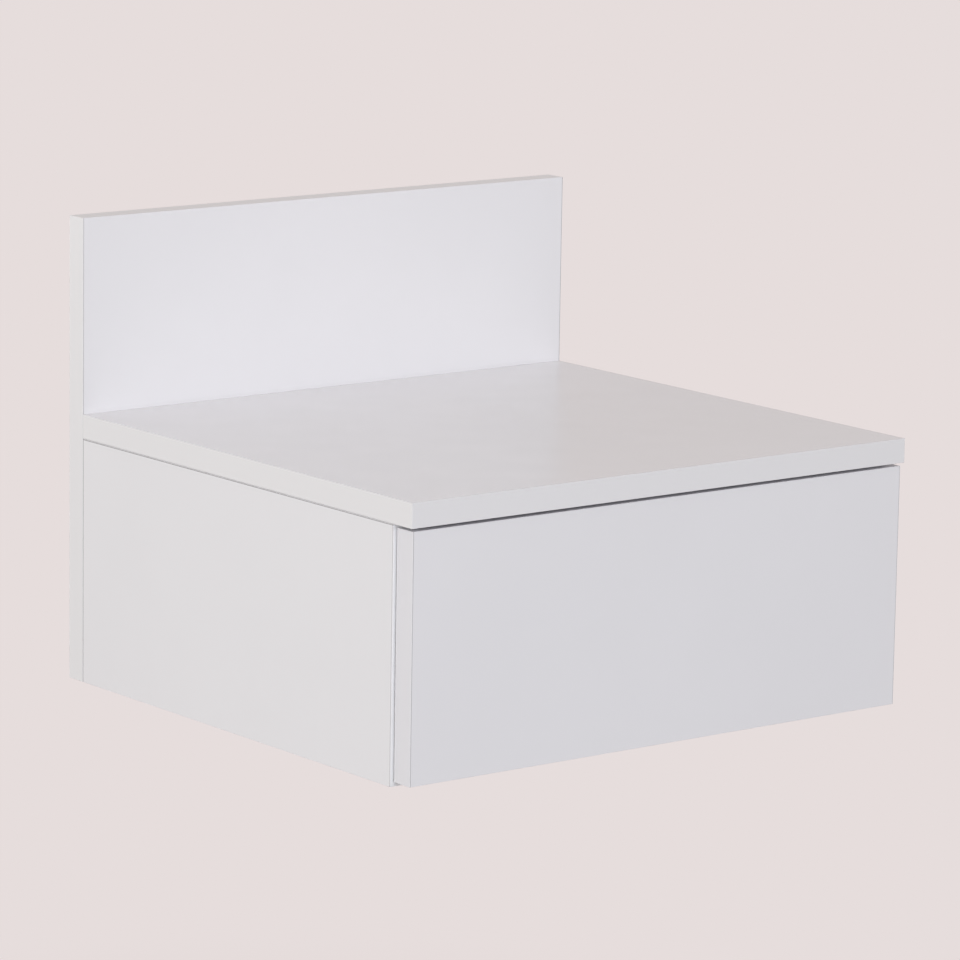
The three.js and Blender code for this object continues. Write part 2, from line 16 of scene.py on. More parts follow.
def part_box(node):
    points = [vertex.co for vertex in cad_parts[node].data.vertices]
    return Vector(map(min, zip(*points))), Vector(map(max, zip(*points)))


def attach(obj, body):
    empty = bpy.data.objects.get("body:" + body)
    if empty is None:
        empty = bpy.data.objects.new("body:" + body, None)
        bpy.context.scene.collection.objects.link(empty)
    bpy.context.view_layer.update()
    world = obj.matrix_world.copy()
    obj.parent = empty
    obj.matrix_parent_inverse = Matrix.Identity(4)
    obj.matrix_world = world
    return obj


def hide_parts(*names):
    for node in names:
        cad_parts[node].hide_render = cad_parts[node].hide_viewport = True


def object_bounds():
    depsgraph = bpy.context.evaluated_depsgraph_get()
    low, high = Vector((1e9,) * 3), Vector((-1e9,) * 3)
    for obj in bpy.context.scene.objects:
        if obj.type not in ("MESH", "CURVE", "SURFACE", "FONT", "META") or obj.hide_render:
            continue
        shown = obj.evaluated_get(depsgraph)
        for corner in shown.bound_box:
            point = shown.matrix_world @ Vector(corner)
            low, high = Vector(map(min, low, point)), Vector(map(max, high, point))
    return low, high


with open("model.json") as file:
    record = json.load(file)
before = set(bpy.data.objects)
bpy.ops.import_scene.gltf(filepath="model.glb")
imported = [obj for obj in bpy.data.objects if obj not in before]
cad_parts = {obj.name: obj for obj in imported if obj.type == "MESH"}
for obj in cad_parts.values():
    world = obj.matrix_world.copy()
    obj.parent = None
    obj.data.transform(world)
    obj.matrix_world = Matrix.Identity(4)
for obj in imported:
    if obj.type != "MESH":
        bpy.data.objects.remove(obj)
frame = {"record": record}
CAD_LOW, CAD_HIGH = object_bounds()
BODY_OF = {node: body for body, nodes in frame["record"]["behaviour"]["bodies"].items() for node in nodes}
scene = bpy.context.scene

# Axes, the sides of a box as an (axis, sign), and the two sides of the cabinet
X, Y, Z = range(3)
LEFT, RIGHT, FRONT, REAR, UNDER, ABOVE = ((axis, sign) for axis in (X, Y, Z) for sign in (-1, 1))
SIDES = {"left": -1, "right": 1}

# Camera, with its lens and sensor in millimetres
CAMERA_YAW = math.radians(37.841)
CAMERA_PITCH = math.radians(10.833)
CAMERA_ROLL = math.radians(0.920)
CAMERA_DISTANCE = 3.35979
CAMERA_LENS = 192.26
CAMERA_SENSOR = 36.0
CAMERA_AIM = (-0.00145, -0.18643, -0.01205)

# Backdrop and floor. The backdrop is weaker where it is mirrored. Away from the object the floor takes its
# flat colour, and a bounce is the floor's colour where it lights the object.
BACKDROP = (0.791, 0.723, 0.716, 1.0)
MIRRORED_STRENGTH = 0.86
AMBIENT = (1.0, 0.952, 0.926, 1.0)
AMBIENT_STRENGTH = 0.552
FLOOR_HEIGHT = -0.6
FLOOR_HALF = 4.0
FLOOR_COLOUR = (0.80, 0.76, 0.75, 1.0)
FLOOR_FLAT_SHARE = 0.6
NEAR_BOUNCE = (0.40, 0.39, 0.39, 1.0)
FAR_BOUNCE = (0.26, 0.25, 0.25, 1.0)
SHADOW_INNER = 0.35
SHADOW_OUTER = 0.85

# Lamps: where each stands, its power in watts and its colour
Lamp = namedtuple("Lamp", "place power colour")
LAMP_SIZE = 3.2
FILL_POWER = 78.0
FILL_COLOUR = (0.97, 0.98, 1.0)
LAMPS = {
    "left_lamp": Lamp((-5.74, -1.72, 1.5), 147.7, (0.979, 1.0, 0.966)),
    "front_lamp": Lamp((-2.03, -5.77, 1.5), 156.1, (0.848, 0.914, 1.0)),
    "right_fill": Lamp((5.9, -0.9, 0.0), FILL_POWER, FILL_COLOUR),
    "rear_fill": Lamp((-1.8, 5.8, 0.0), FILL_POWER, FILL_COLOUR),
}

# Colours, linear
MELAMINE = (0.802, 0.788, 0.808, 1.0)
MELAMINE_MOTTLE = (0.794, 0.780, 0.800, 1.0)
CARCASS_BAND = (0.790, 0.776, 0.786, 1.0)
# The side panels' bands are painted lighter, to lift the shade in the gap beside the drawer front.
SIDE_BAND_PAINTED_LIGHT = (0.875, 0.865, 0.875, 1.0)
# The drawer front's bands are painted darker, as painted shade that deepens the shadow gap under the top.
FRONT_BAND_PAINTED_SHADE = (0.764, 0.750, 0.780, 1.0)
# The dark colour of the bands' joint lines, which also carries painted shadow and shade along some edges.
BAND_LINE_AND_SHADE = (0.22, 0.215, 0.22, 1.0)
CHIP_PALE = (0.62, 0.47, 0.31, 1.0)
CHIP_DARK = (0.27, 0.17, 0.09, 1.0)
PAINT = (0.80, 0.79, 0.78, 1.0)
PAINT_DULL = (0.775, 0.765, 0.755, 1.0)
FIBRE = (0.20, 0.115, 0.06, 1.0)
FIBRE_DARK = (0.12, 0.065, 0.033, 1.0)
BEECH = (0.66, 0.46, 0.28, 1.0)
BEECH_DARK = (0.52, 0.33, 0.18, 1.0)
SHEET_ZINC = (0.62, 0.64, 0.66, 1.0)
STRIP_STEEL = (0.50, 0.51, 0.53, 1.0)
BRIGHT_STEEL = (0.64, 0.65, 0.66, 1.0)
FASTENER_ZINC = (0.60, 0.61, 0.64, 1.0)
ZINC_ALLOY = (0.42, 0.42, 0.43, 1.0)
LATCH_GREY = (0.70, 0.70, 0.68, 1.0)

# Edge bands, how deep a board counts as face, and how strong the joint lines and their painted shade show
BAND_THICKNESS = 0.0005
FACE_DEPTH = 0.00025
BAND_LINE_HALF = 0.00017
BAND_LINE_SOFT = 0.0001
# The seam line is a joint line darkened with painted shadow, where a side panel meets the top and the back.
SEAM_SHADOW_LINE = 0.86
# The strong line is a joint line darkened with painted shade, on the edges that read dark in the lamps'
# light.
SHADED_EDGE_LINE = 0.62
FAINT_LINE = 0.4


# Node trees
class Tree:
    """A node tree and short ways to add to it. A value is a number, a colour or another node's output."""

    def __init__(self, owner):
        owner.use_nodes = True
        self.owner = owner
        self.tree = owner.node_tree
        self.tree.nodes.clear()

    def add(self, kind, settings=None, **values):
        node = self.tree.nodes.new(kind)
        for key, value in (settings or {}).items():
            setattr(node, key, value)
        for key, value in values.items():
            self.fill(node.inputs[key.replace("_", " ")], value)
        return node

    def fill(self, socket, value):
        if isinstance(value, bpy.types.NodeSocket):
            self.tree.links.new(value, socket)
        else:
            socket.default_value = value

    def fill_in_order(self, sockets, values):
        for socket, value in zip(sockets, values):
            self.fill(socket, value)

    def math(self, operation, *values, kind="ShaderNodeMath"):
        node = self.add(kind, {"operation": operation})
        self.fill_in_order(node.inputs, values)
        return node.outputs[0]

    def ramp(self, value, low, high, first=0.0, last=1.0):
        """From first, where the value is low, smoothly to last, where it is high."""
        node = self.add(
            "ShaderNodeMapRange",
            {"interpolation_type": "SMOOTHSTEP"},
            Value=value, From_Min=low, From_Max=high, To_Min=first, To_Max=last,
        )
        return node.outputs[0]

    def mix(self, share, first, last):
        """A colour between two, with a share of the last."""
        node = self.add("ShaderNodeMix", {"data_type": "RGBA"}, Factor=share)
        self.fill_in_order([socket for socket in node.inputs if socket.type == "RGBA"], (first, last))
        return next(socket for socket in node.outputs if socket.type == "RGBA")

    def mix_shaders(self, share, first, last):
        node = self.add("ShaderNodeMixShader")
        self.fill_in_order(node.inputs, (share, first, last))
        return node.outputs[0]

    def place(self):
        return self.add("ShaderNodeTexCoord").outputs["Object"]

    def places(self):
        return self.add("ShaderNodeSeparateXYZ", Vector=self.place()).outputs

    def stretched(self, scale):
        return self.add("ShaderNodeMapping", Vector=self.place(), Scale=scale).outputs[0]

    def noise(self, scale, detail=2.0, roughness=0.5, vector=None):
        node = self.add(
            "ShaderNodeTexNoise",
            Vector=vector or self.place(), Scale=scale, Detail=detail, Roughness=roughness,
        )
        return node.outputs["Fac"]

    def bump(self, height, depth, strength, normal=None):
        node = self.add("ShaderNodeBump", Height=height, Distance=depth, Strength=strength)
        if normal:
            self.fill(node.inputs["Normal"], normal)
        return node.outputs[0]

    def principled(self, **values):
        """Ends a material's tree with its shader, and gives the material."""
        shader = self.add("ShaderNodeBsdfPrincipled", **values).outputs[0]
        self.add("ShaderNodeOutputMaterial", Surface=shader)
        return self.owner


def material_tree(name):
    return Tree(bpy.data.materials.new(name))


# Finishes. A noise is its cells to the metre, its detail and its roughness. A bump is its depth and its
# strength. A spread is the two values of a noise between which the finish changes.
WIDE_SPREAD = (0.3, 0.7)
NARROW_SPREAD = (0.35, 0.65)
EVEN = (1.0, 1.0, 1.0)
ROLLED = (1.0, 0.02, 1.0)

# Boards: the faces stay smoother than the bands
FACE_ROUGHNESS = (0.19, 0.25)
BAND_ROUGHNESS = (0.29, 0.34)
MELAMINE_IOR = 1.5
MOTTLE_NOISE = (9.0, 3.0, 0.6)
PATCH_NOISE = (14.0, 1.0)
PEEL_NOISE = (420.0, 1.0)
PEEL_BUMP = (0.00002, 0.3)
CHIP_SCALES = (520.0, 1500.0)
CHIP_STRETCH = (1.0, 1.0, 1.8)
CHIP_BEND = 0.4
CHIP_CONTRAST = 1.6
CHIP_ROUGHNESS = 0.85
CHIP_BUMP = (0.0003, 0.6)
DUST_NOISE = (2600.0, 3.0)
DUST_SPREAD = (0.3, 0.8)
DUST_SHARE = 0.6

# Hardboard and wood
PAINT_SCALE = 260.0
PAINT_ROUGHNESS = (0.42, 0.5)
PAINT_BUMP = (0.00006, 0.4)
SCREEN_PITCH = 0.0014
SCREEN_BUMP = (0.0002, 0.6)
FIBRE_NOISE = (900.0, 4.0, 0.65)
FIBRE_STRETCH = (1.0, 0.5, 1.0)
FIBRE_ROUGHNESS = 0.8
RING_NOISE = (900.0, 3.0, 0.6)
RING_STRETCH = (0.06, 1.0, 1.0)
BEECH_ROUGHNESS = 0.6
WOOD_BUMP = (0.0001, 0.4)

# Metals and plastic. A shade is the share of the colour's brightness that darker patches keep.
GRAIN_DETAIL = (3.0, 0.6)
GRAIN_SPREAD = (0.25, 0.75)
GRAIN_SMOOTHER = 0.05
GRAIN_ROUGHER = 0.07
GRAIN_STRENGTH = 0.5
ROLLED_DEPTH = 0.00001
POLISHED_DEPTH = 0.000001
CAST_DEPTH = 0.00004
METAL_PATCH_SCALE = 70.0
METAL_SHADE = 0.88
SPARK_SCALE = 2600.0
SPARK_BUMP = (0.00003, 0.4)
SPARK_ROUGHNESS = 0.05
PLASTIC_PATCH_SCALE = 120.0
PLASTIC_SHADE = 0.95
PLASTIC_IOR = 1.49


def melamine(name, low, high, joints, band):
    """White melamine faces, edge bands on the narrow sides, and the lines of the joints between them.

    joints: how strong the line, with painted shade, is on each side that shows one. band: the bands' colour.
    """
    tree = material_tree(name)
    sizes = [high[axis] - low[axis] for axis in (X, Y, Z)]
    thin = sizes.index(min(sizes))
    places = tree.places()

    def depth(axis, sign):
        wall = high[axis] if sign > 0 else low[axis]
        return tree.math("MULTIPLY", tree.math("SUBTRACT", wall, places[axis]), float(sign))

    on_face = tree.math("LESS_THAN", tree.math("MINIMUM", depth(thin, -1), depth(thin, 1)), FACE_DEPTH)
    line = 0.0
    for (axis, sign), strength in joints.items():
        off_joint = tree.math("ABSOLUTE", tree.math("SUBTRACT", depth(axis, sign), BAND_THICKNESS))
        drawn = tree.ramp(off_joint, BAND_LINE_HALF, BAND_LINE_HALF + BAND_LINE_SOFT, strength, 0.0)
        line = tree.math("MAXIMUM", line, drawn)
    mottle = tree.ramp(tree.noise(*MOTTLE_NOISE), *NARROW_SPREAD)
    faced = tree.mix(on_face, band, tree.mix(mottle, MELAMINE, MELAMINE_MOTTLE))
    patches = tree.noise(*PATCH_NOISE)
    on_faces = tree.ramp(patches, *WIDE_SPREAD, *FACE_ROUGHNESS)
    on_bands = tree.ramp(patches, *WIDE_SPREAD, *BAND_ROUGHNESS)
    return tree.principled(
        Base_Color=tree.mix(tree.math("MULTIPLY", line, on_face), faced, BAND_LINE_AND_SHADE),
        Roughness=tree.ramp(on_face, 0.0, 1.0, on_bands, on_faces),
        IOR=MELAMINE_IOR,
        Normal=tree.bump(tree.noise(*PEEL_NOISE), *PEEL_BUMP),
    )


def chipboard():
    """Pressed chips, with fine dust between them, in the bores, grooves and raw edges of boards."""
    tree = material_tree("chipboard")
    layers = []
    for scale in CHIP_SCALES:
        bend = tree.math("MULTIPLY", tree.noise(scale), CHIP_BEND / scale)
        place = tree.math("ADD", tree.stretched(CHIP_STRETCH), bend, kind="ShaderNodeVectorMath")
        layers.append(tree.add("ShaderNodeTexVoronoi", Vector=place, Scale=scale).outputs)
    shades = [tree.add("ShaderNodeSeparateColor", Color=layer["Color"]).outputs[0] for layer in layers]
    shade = tree.math("POWER", tree.math("MULTIPLY", *shades), CHIP_CONTRAST)
    chips = tree.mix(shade, CHIP_PALE, CHIP_DARK)
    dust = tree.ramp(tree.noise(*DUST_NOISE), *DUST_SPREAD, 0.0, DUST_SHARE)
    return tree.principled(
        Base_Color=tree.mix(dust, chips, CHIP_PALE),
        Roughness=CHIP_ROUGHNESS,
        Normal=tree.bump(tree.math("ADD", *(layer["Distance"] for layer in layers)), *CHIP_BUMP),
    )


def painted_hardboard():
    tree = material_tree("painted_hardboard")
    ripple = tree.noise(PAINT_SCALE)
    return tree.principled(
        Base_Color=tree.mix(tree.ramp(ripple, *WIDE_SPREAD), PAINT, PAINT_DULL),
        Roughness=tree.ramp(ripple, *WIDE_SPREAD, *PAINT_ROUGHNESS),
        Normal=tree.bump(ripple, *PAINT_BUMP),
    )


def bare_hardboard():
    """The brown underside, which keeps the print of the wire screen that it was pressed on."""
    tree = material_tree("bare_hardboard")
    places = tree.places()
    turns = 2 * math.pi / SCREEN_PITCH
    waves = [tree.math("SINE", tree.math("MULTIPLY", places[axis], turns)) for axis in (X, Y)]
    screen = tree.bump(tree.math("MULTIPLY", *waves), *SCREEN_BUMP)
    fibres = tree.noise(*FIBRE_NOISE, tree.stretched(FIBRE_STRETCH))
    return tree.principled(
        Base_Color=tree.mix(tree.ramp(fibres, *WIDE_SPREAD), FIBRE, FIBRE_DARK),
        Roughness=FIBRE_ROUGHNESS,
        Normal=tree.bump(fibres, *WOOD_BUMP, screen),
    )


def beech():
    tree = material_tree("beech")
    rings = tree.noise(*RING_NOISE, tree.stretched(RING_STRETCH))
    return tree.principled(
        Base_Color=tree.mix(tree.ramp(rings, *NARROW_SPREAD), BEECH, BEECH_DARK),
        Roughness=BEECH_ROUGHNESS,
        Normal=tree.bump(rings, *WOOD_BUMP),
    )


def shaded(colour, shade):
    return (*(part * shade for part in colour[:3]), 1.0)


def metal(name, colour, roughness, scale, stretch=EVEN, depth=ROLLED_DEPTH):
    """Rolled or cast metal: fine grain, drawn out along the piece where stretch says, and faint patches."""
    tree = material_tree(name)
    grain = tree.noise(scale, *GRAIN_DETAIL, tree.stretched(stretch))
    patches = tree.ramp(tree.noise(METAL_PATCH_SCALE), *NARROW_SPREAD)
    return tree.principled(
        Base_Color=tree.mix(patches, colour, shaded(colour, METAL_SHADE)),
        Metallic=1.0,
        Roughness=tree.ramp(grain, *GRAIN_SPREAD, roughness - GRAIN_SMOOTHER, roughness + GRAIN_ROUGHER),
        Normal=tree.bump(grain, depth, GRAIN_STRENGTH),
    )


def moulded(name, colour, roughness):
    """Moulded plastic with a fine spark-eroded texture."""
    tree = material_tree(name)
    sparks = tree.noise(SPARK_SCALE)
    patches = tree.ramp(tree.noise(PLASTIC_PATCH_SCALE), *WIDE_SPREAD)
    return tree.principled(
        Base_Color=tree.mix(patches, colour, shaded(colour, PLASTIC_SHADE)),
        Roughness=tree.ramp(sparks, *WIDE_SPREAD, roughness - SPARK_ROUGHNESS, roughness + SPARK_ROUGHNESS),
        IOR=PLASTIC_IOR,
        Normal=tree.bump(sparks, *SPARK_BUMP),
    )


CHIPBOARD = chipboard()
FLOOR_FACE = painted_hardboard()
FLOOR_BACK = bare_hardboard()
DOWEL_WOOD = beech()
RUNNER_STEEL = metal("runner_zinc", SHEET_ZINC, roughness=0.34, scale=1400.0, stretch=ROLLED)
CAGE_STEEL = metal("cage_strip", STRIP_STEEL, roughness=0.38, scale=1400.0, stretch=ROLLED)
BALL_STEEL = metal("ball_steel", BRIGHT_STEEL, roughness=0.12, scale=3000.0, depth=POLISHED_DEPTH)
FASTENER_STEEL = metal("fastener_zinc", FASTENER_ZINC, roughness=0.35, scale=2400.0)
CAM_ALLOY = metal("cast_alloy", ZINC_ALLOY, roughness=0.42, scale=1800.0, depth=CAST_DEPTH)
LATCH_PLASTIC = moulded("latch_moulding", LATCH_GREY, roughness=0.45)

# Meshes
EDGE_RADIUS = 0.0002
EDGE_SEGMENTS = 3
ROUND_PROFILE = 0.5
BORE_SIDES = 48
SMALL_BORE_SIDES = 24
OVERRUN = 0.001
SHARP_ANGLE = math.radians(38)
MERGE_DISTANCE = 1e-7


def add_object(name, data):
    made = bpy.data.objects.new(name, data)
    scene.collection.objects.link(made)
    return made


def link_mesh(name, work, materials):
    bmesh.ops.recalc_face_normals(work, faces=work.faces[:])
    mesh = bpy.data.meshes.new(name)
    work.to_mesh(mesh)
    work.free()
    for material in materials:
        mesh.materials.append(material)
    return add_object(name, mesh)


def finish_piece(made, node):
    """The piece stands for a CAD node, rides on its body, and shades smooth up to its sharp edges."""
    work = bmesh.new()
    work.from_mesh(made.data)
    bmesh.ops.remove_doubles(work, verts=work.verts[:], dist=MERGE_DISTANCE)
    for face in work.faces:
        face.smooth = True
    for edge in work.edges:
        edge.smooth = len(edge.link_faces) == 2 and edge.calc_face_angle() < SHARP_ANGLE
    work.to_mesh(made.data)
    work.free()
    made.modifiers.new("normals", "WEIGHTED_NORMAL").keep_sharp = True
    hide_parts(node)
    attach(made, BODY_OF[node])


def add_box(work, low, high):
    size = Vector(high) - Vector(low)
    middle = (Vector(high) + Vector(low)) / 2
    bmesh.ops.create_cube(work, size=1.0, matrix=Matrix.Translation(middle) @ Matrix.Diagonal((*size, 1.0)))
    return work


def rounded(work, radius, edges=None):
    """The mesh with some or all of its edges rounded."""
    bmesh.ops.bevel(
        work, geom=edges or work.edges[:], offset=radius, segments=EDGE_SEGMENTS, profile=ROUND_PROFILE,
        affect="EDGES", clamp_overlap=False,
    )
    return work


def unit(axis, sign=1):
    return Vector([sign if part == axis else 0 for part in (X, Y, Z)])


def frame_at(origin, up, across=None):
    """A matrix with its origin at a point, its +Z along up, which is an axis, and its +X along across."""
    side = across or unit(Y if up.x else X)
    return Matrix.Translation(origin) @ Matrix((side, up.cross(side), up)).transposed().to_4x4()


def skin(work, rings):
    """Faces between neighbouring rings of vertices. A ring of one vertex is a pole."""
    for below, above in zip(rings, rings[1:]):
        sides = max(len(below), len(above))
        for step in range(sides):
            after = (step + 1) % sides
            corners = [below[step % len(below)], below[after % len(below)]]
            corners += [above[after % len(above)], above[step % len(above)]]
            corners = list(dict.fromkeys(corners))
            if len(corners) > 2:
                work.faces.new(corners)


def prism(work, outline, low, high, place):
    """An outline of 2-D points drawn out between two stations. place sets a point at a station in space."""
    rings = [[work.verts.new(place(spot, station)) for spot in outline] for station in (low, high)]
    skin(work, rings)
    for ring in rings:
        work.faces.new(ring)
    bmesh.ops.recalc_face_normals(work, faces=work.faces[:])
    return rings


def soft_prism(outline, low, high, place, radius):
    """A prism with the edges of its two ends rounded."""
    work = bmesh.new()
    rings = prism(work, outline, low, high, place)
    ends = [edge for edge in work.edges if any(all(vert in ring for vert in edge.verts) for ring in rings)]
    return rounded(work, radius, ends)


# Threads. The crest is in the middle of each turn.
Thread = namedtuple("Thread", "low high pitch depth")
RINGS_PER_TURN = 8
CREST_SHARPNESS = 3.2
ROOT_SHARE = 0.35


def thread_cut(thread, radius, height, turn):
    """How deep a helical thread cuts into a radius, at a height and a share of a turn."""
    phase = (height / thread.pitch - turn) % 1.0
    crest = max(0.0, 1.0 - abs(phase - 0.5) * CREST_SHARPNESS)
    return min(thread.depth, radius * ROOT_SHARE) * (1.0 - crest)


def turned(work, profile, matrix=Matrix(), sides=BORE_SIDES, thread=None):
    """A solid turned round +Z from a profile of (radius, height) pairs, with a thread where one is given."""
    stations = []
    for (radius, height), (next_radius, next_height) in zip(profile, profile[1:]):
        low, high = sorted((height, next_height))
        threaded = thread is not None and thread.low <= low < high <= thread.high
        steps = max(1, round((high - low) / thread.pitch * RINGS_PER_TURN)) if threaded else 1
        for step in range(steps):
            share = step / steps
            middle_radius = radius + (next_radius - radius) * share
            stations.append((middle_radius, height + (next_height - height) * share, threaded))
    stations.append((*profile[-1], False))
    rings = []
    for radius, height, threaded in stations:
        ring = []
        for step in range(sides if radius > 0 else 1):
            reach = radius - (thread_cut(thread, radius, height, step / sides) if threaded else 0.0)
            angle = 2 * math.pi * step / sides
            spot = Vector((reach * math.cos(angle), reach * math.sin(angle), height))
            ring.append(work.verts.new(matrix @ spot))
        rings.append(ring)
    skin(work, rings)
    return work


def drum(work, axis, middle, radius, low, high, sides=BORE_SIDES):
    """A cylinder along an axis, between two places on it."""
    foot = Vector(middle)
    foot[axis] = low
    length = high - low
    profile = [(0, 0), (radius, 0), (radius, length), (0, length)]
    return turned(work, profile, frame_at(foot, unit(axis)), sides)


def combine(made, tools, operation="DIFFERENCE"):
    """Cuts each tool mesh from the object, or joins it on. Cut faces take the object's last material."""
    for number, tool in enumerate(tools):
        if not tool.faces:
            tool.free()
            continue
        for face in tool.faces:
            face.material_index = len(made.data.materials) - 1
        cutter = link_mesh(f"{made.name}_tool_{number}", tool, made.data.materials[:])
        modifier = made.modifiers.new("cut", "BOOLEAN")
        modifier.operation = operation
        modifier.solver = "EXACT"
        modifier.object = cutter
        bpy.context.view_layer.update()
        evaluated = made.evaluated_get(bpy.context.evaluated_depsgraph_get())
        fresh = bpy.data.meshes.new_from_object(evaluated)
        made.modifiers.clear()
        made.data = fresh
        bpy.data.objects.remove(cutter)


def placed(pattern, node, matrix):
    """A copy of a pattern object's mesh, set by a matrix, as the piece for a node."""
    mesh = pattern.data.copy()
    mesh.transform(matrix)
    finish_piece(add_object(f"{node}_fine", mesh), node)


# Where the frame's nodes lie
def sign_of(value):
    return 1 if value > 0 else -1


def middle_of(node):
    low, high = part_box(node)
    return (low + high) / 2


def length_of(node, axis):
    low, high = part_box(node)
    return high[axis] - low[axis]


def end_of(node, side):
    """Where a node ends on a side of its box, along that side's axis."""
    axis, sign = side
    low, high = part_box(node)
    return (high if sign > 0 else low)[axis]


def flush_with(node, board, axis):
    """+1 or -1: the side of the board, along an axis, that the node's face is flush with."""
    gaps = {sign: abs(end_of(node, (axis, sign)) - end_of(board, (axis, sign))) for sign in (-1, 1)}
    return min(gaps, key=gaps.get)


# How far the inner faces of the cabinet's and the drawer's sides are from the middle
CABINET_INNER = end_of("side_panel_right", LEFT)
DRAWER_INNER = end_of("drawer_side_right", LEFT)

# The room round a fitting, and the digits to which screws of one length agree
FIT_CLEARANCE = 0.0003
KEY_DIGITS = 5

# Cam joints: which board holds the cam, which one the bolt grips, and the axes of both
CamJoint = namedtuple("CamJoint", "name cam_board bolt_board bolt_axis cam_axis kind")
CamKind = namedtuple("CamKind", "radius height")
CABINET_CAM = CamKind(radius=0.0072, height=0.012)
DRAWER_CAM = CamKind(radius=0.0057, height=0.009)
BOLT_GRIP = 0.011
BOLT_TIP_RADIUS = 0.0013
BOLT_THREAD_RADIUS = 0.0026
BOLT_SHANK_RADIUS = 0.003
BOLT_NECK_RADIUS = 0.0018
BOLT_NECK_LENGTH = 0.004
BOLT_HEAD_RADIUS = 0.0031
BOLT_HEAD_LENGTH = 0.003
BOLT_TAPER = 0.002
BOLT_PITCH = 0.0018
BOLT_THREAD_DEPTH = 0.0007

# Screws: the board that each goes into, and the axis along it
Screw = namedtuple("Screw", "name board axis")
SCREW_RADIUS = 0.00175
SCREW_HEAD_RADIUS = 0.0035
SCREW_HEAD_HEIGHT = 0.0022
SCREW_RIM = 0.0001
SCREW_TIP = 0.003
SCREW_PITCH = 0.0014
SCREW_THREAD_DEPTH = 0.00055


def cam_joints():
    joints = []
    for side in SIDES:
        panel = f"side_panel_{side}"
        for end in ("front", "rear"):
            joints.append(CamJoint(f"top_{side}_{end}", panel, "top_panel", Z, X, CABINET_CAM))
            joints.append(CamJoint(f"bottom_{side}_{end}", "bottom_panel", panel, X, Z, CABINET_CAM))
        for level in ("upper", "lower"):
            joints.append(CamJoint(f"back_{side}_{level}", panel, "backboard", Y, X, CABINET_CAM))
        front = f"drawer_front_{side}"
        joints.append(CamJoint(front, f"drawer_side_{side}", "drawer_front", Y, X, DRAWER_CAM))
    return joints


def screws():
    found = []
    for side in SIDES:
        for end in ("front", "rear"):
            found.append(Screw(f"runner_{side}_cabinet_screw_{end}", f"side_panel_{side}", X))
            found.append(Screw(f"runner_{side}_drawer_screw_{end}", f"drawer_side_{side}", X))
        found.append(Screw(f"push_latch_screw_{side}", "bottom_panel", Z))
    return found


CAM_JOINTS = cam_joints()
SCREWS = screws()


# Bores in boards
def add_bore(work, node, axis, radius, below=FIT_CLEARANCE, above=FIT_CLEARANCE, sides=SMALL_BORE_SIDES):
    """A bore for a node, wider than its radius by the clearance, and longer at its two ends."""
    low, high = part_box(node)
    reach = low[axis] - below, high[axis] + above
    drum(work, axis, (low + high) / 2, radius + FIT_CLEARANCE, *reach, sides)


def fitting_bores(board):
    """The bores of a board's cams, bolts and screws, as three tools."""
    cams, bolts, holes = bmesh.new(), bmesh.new(), bmesh.new()
    for joint in CAM_JOINTS:
        if joint.cam_board == board:
            cam, axis = f"{joint.name}_cam", joint.cam_axis
            opens_above = flush_with(cam, board, axis) > 0
            ends = (FIT_CLEARANCE, OVERRUN) if opens_above else (OVERRUN, FIT_CLEARANCE)
            add_bore(cams, cam, axis, joint.kind.radius, *ends, BORE_SIDES)
        if board in (joint.cam_board, joint.bolt_board):
            radius = BOLT_THREAD_RADIUS if joint.bolt_board == board else BOLT_SHANK_RADIUS
            add_bore(bolts, f"{joint.name}_bolt", joint.bolt_axis, radius)
    for screw in SCREWS:
        if screw.board == board:
            add_bore(holes, screw.name, screw.axis, SCREW_RADIUS)
    return [cams, bolts, holes]


# Holes for wall screws in the back panel
WALL_HOLE_RADIUS = 0.0025
WALL_SINK_RADIUS = 0.005
WALL_SINK_DEPTH = 0.0025
WALL_HOLE_INSET = 0.05
WALL_HOLE_DROP = 0.022
WALL_HOLE_LIFT = 0.04


def wall_hole_tools():
    work = bmesh.new()
    face = end_of("backboard", FRONT)
    depth = length_of("backboard", Y)
    profile = [
        (0, -OVERRUN),
        (WALL_SINK_RADIUS, -OVERRUN),
        (WALL_SINK_RADIUS, 0),
        (WALL_HOLE_RADIUS, WALL_SINK_DEPTH),
        (WALL_HOLE_RADIUS, depth + OVERRUN),
        (0, depth + OVERRUN),
    ]
    upper = end_of("top_panel", UNDER) - WALL_HOLE_DROP
    lower = end_of("bottom_panel", ABOVE) + WALL_HOLE_LIFT
    for sign in SIDES.values():
        for height in (upper, lower):
            mouth = Vector((sign * (CABINET_INNER - WALL_HOLE_INSET), face, height))
            turned(work, profile, frame_at(mouth, unit(Y)))
    return work


# The drawer's floor groove and dowels
DOWEL_RADIUS = 0.003
DOWEL_REACH = 0.008
DOWEL_ROOT = 0.01
DOWEL_INSET = 0.022
DOWEL_CHAMFER = 0.0006
GLUE_SEAM = 0.0002


def groove_tool():
    low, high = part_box("drawer_bottom")
    gap = Vector((FIT_CLEARANCE, FIT_CLEARANCE, FIT_CLEARANCE))
    return add_box(bmesh.new(), low - gap, high + gap)


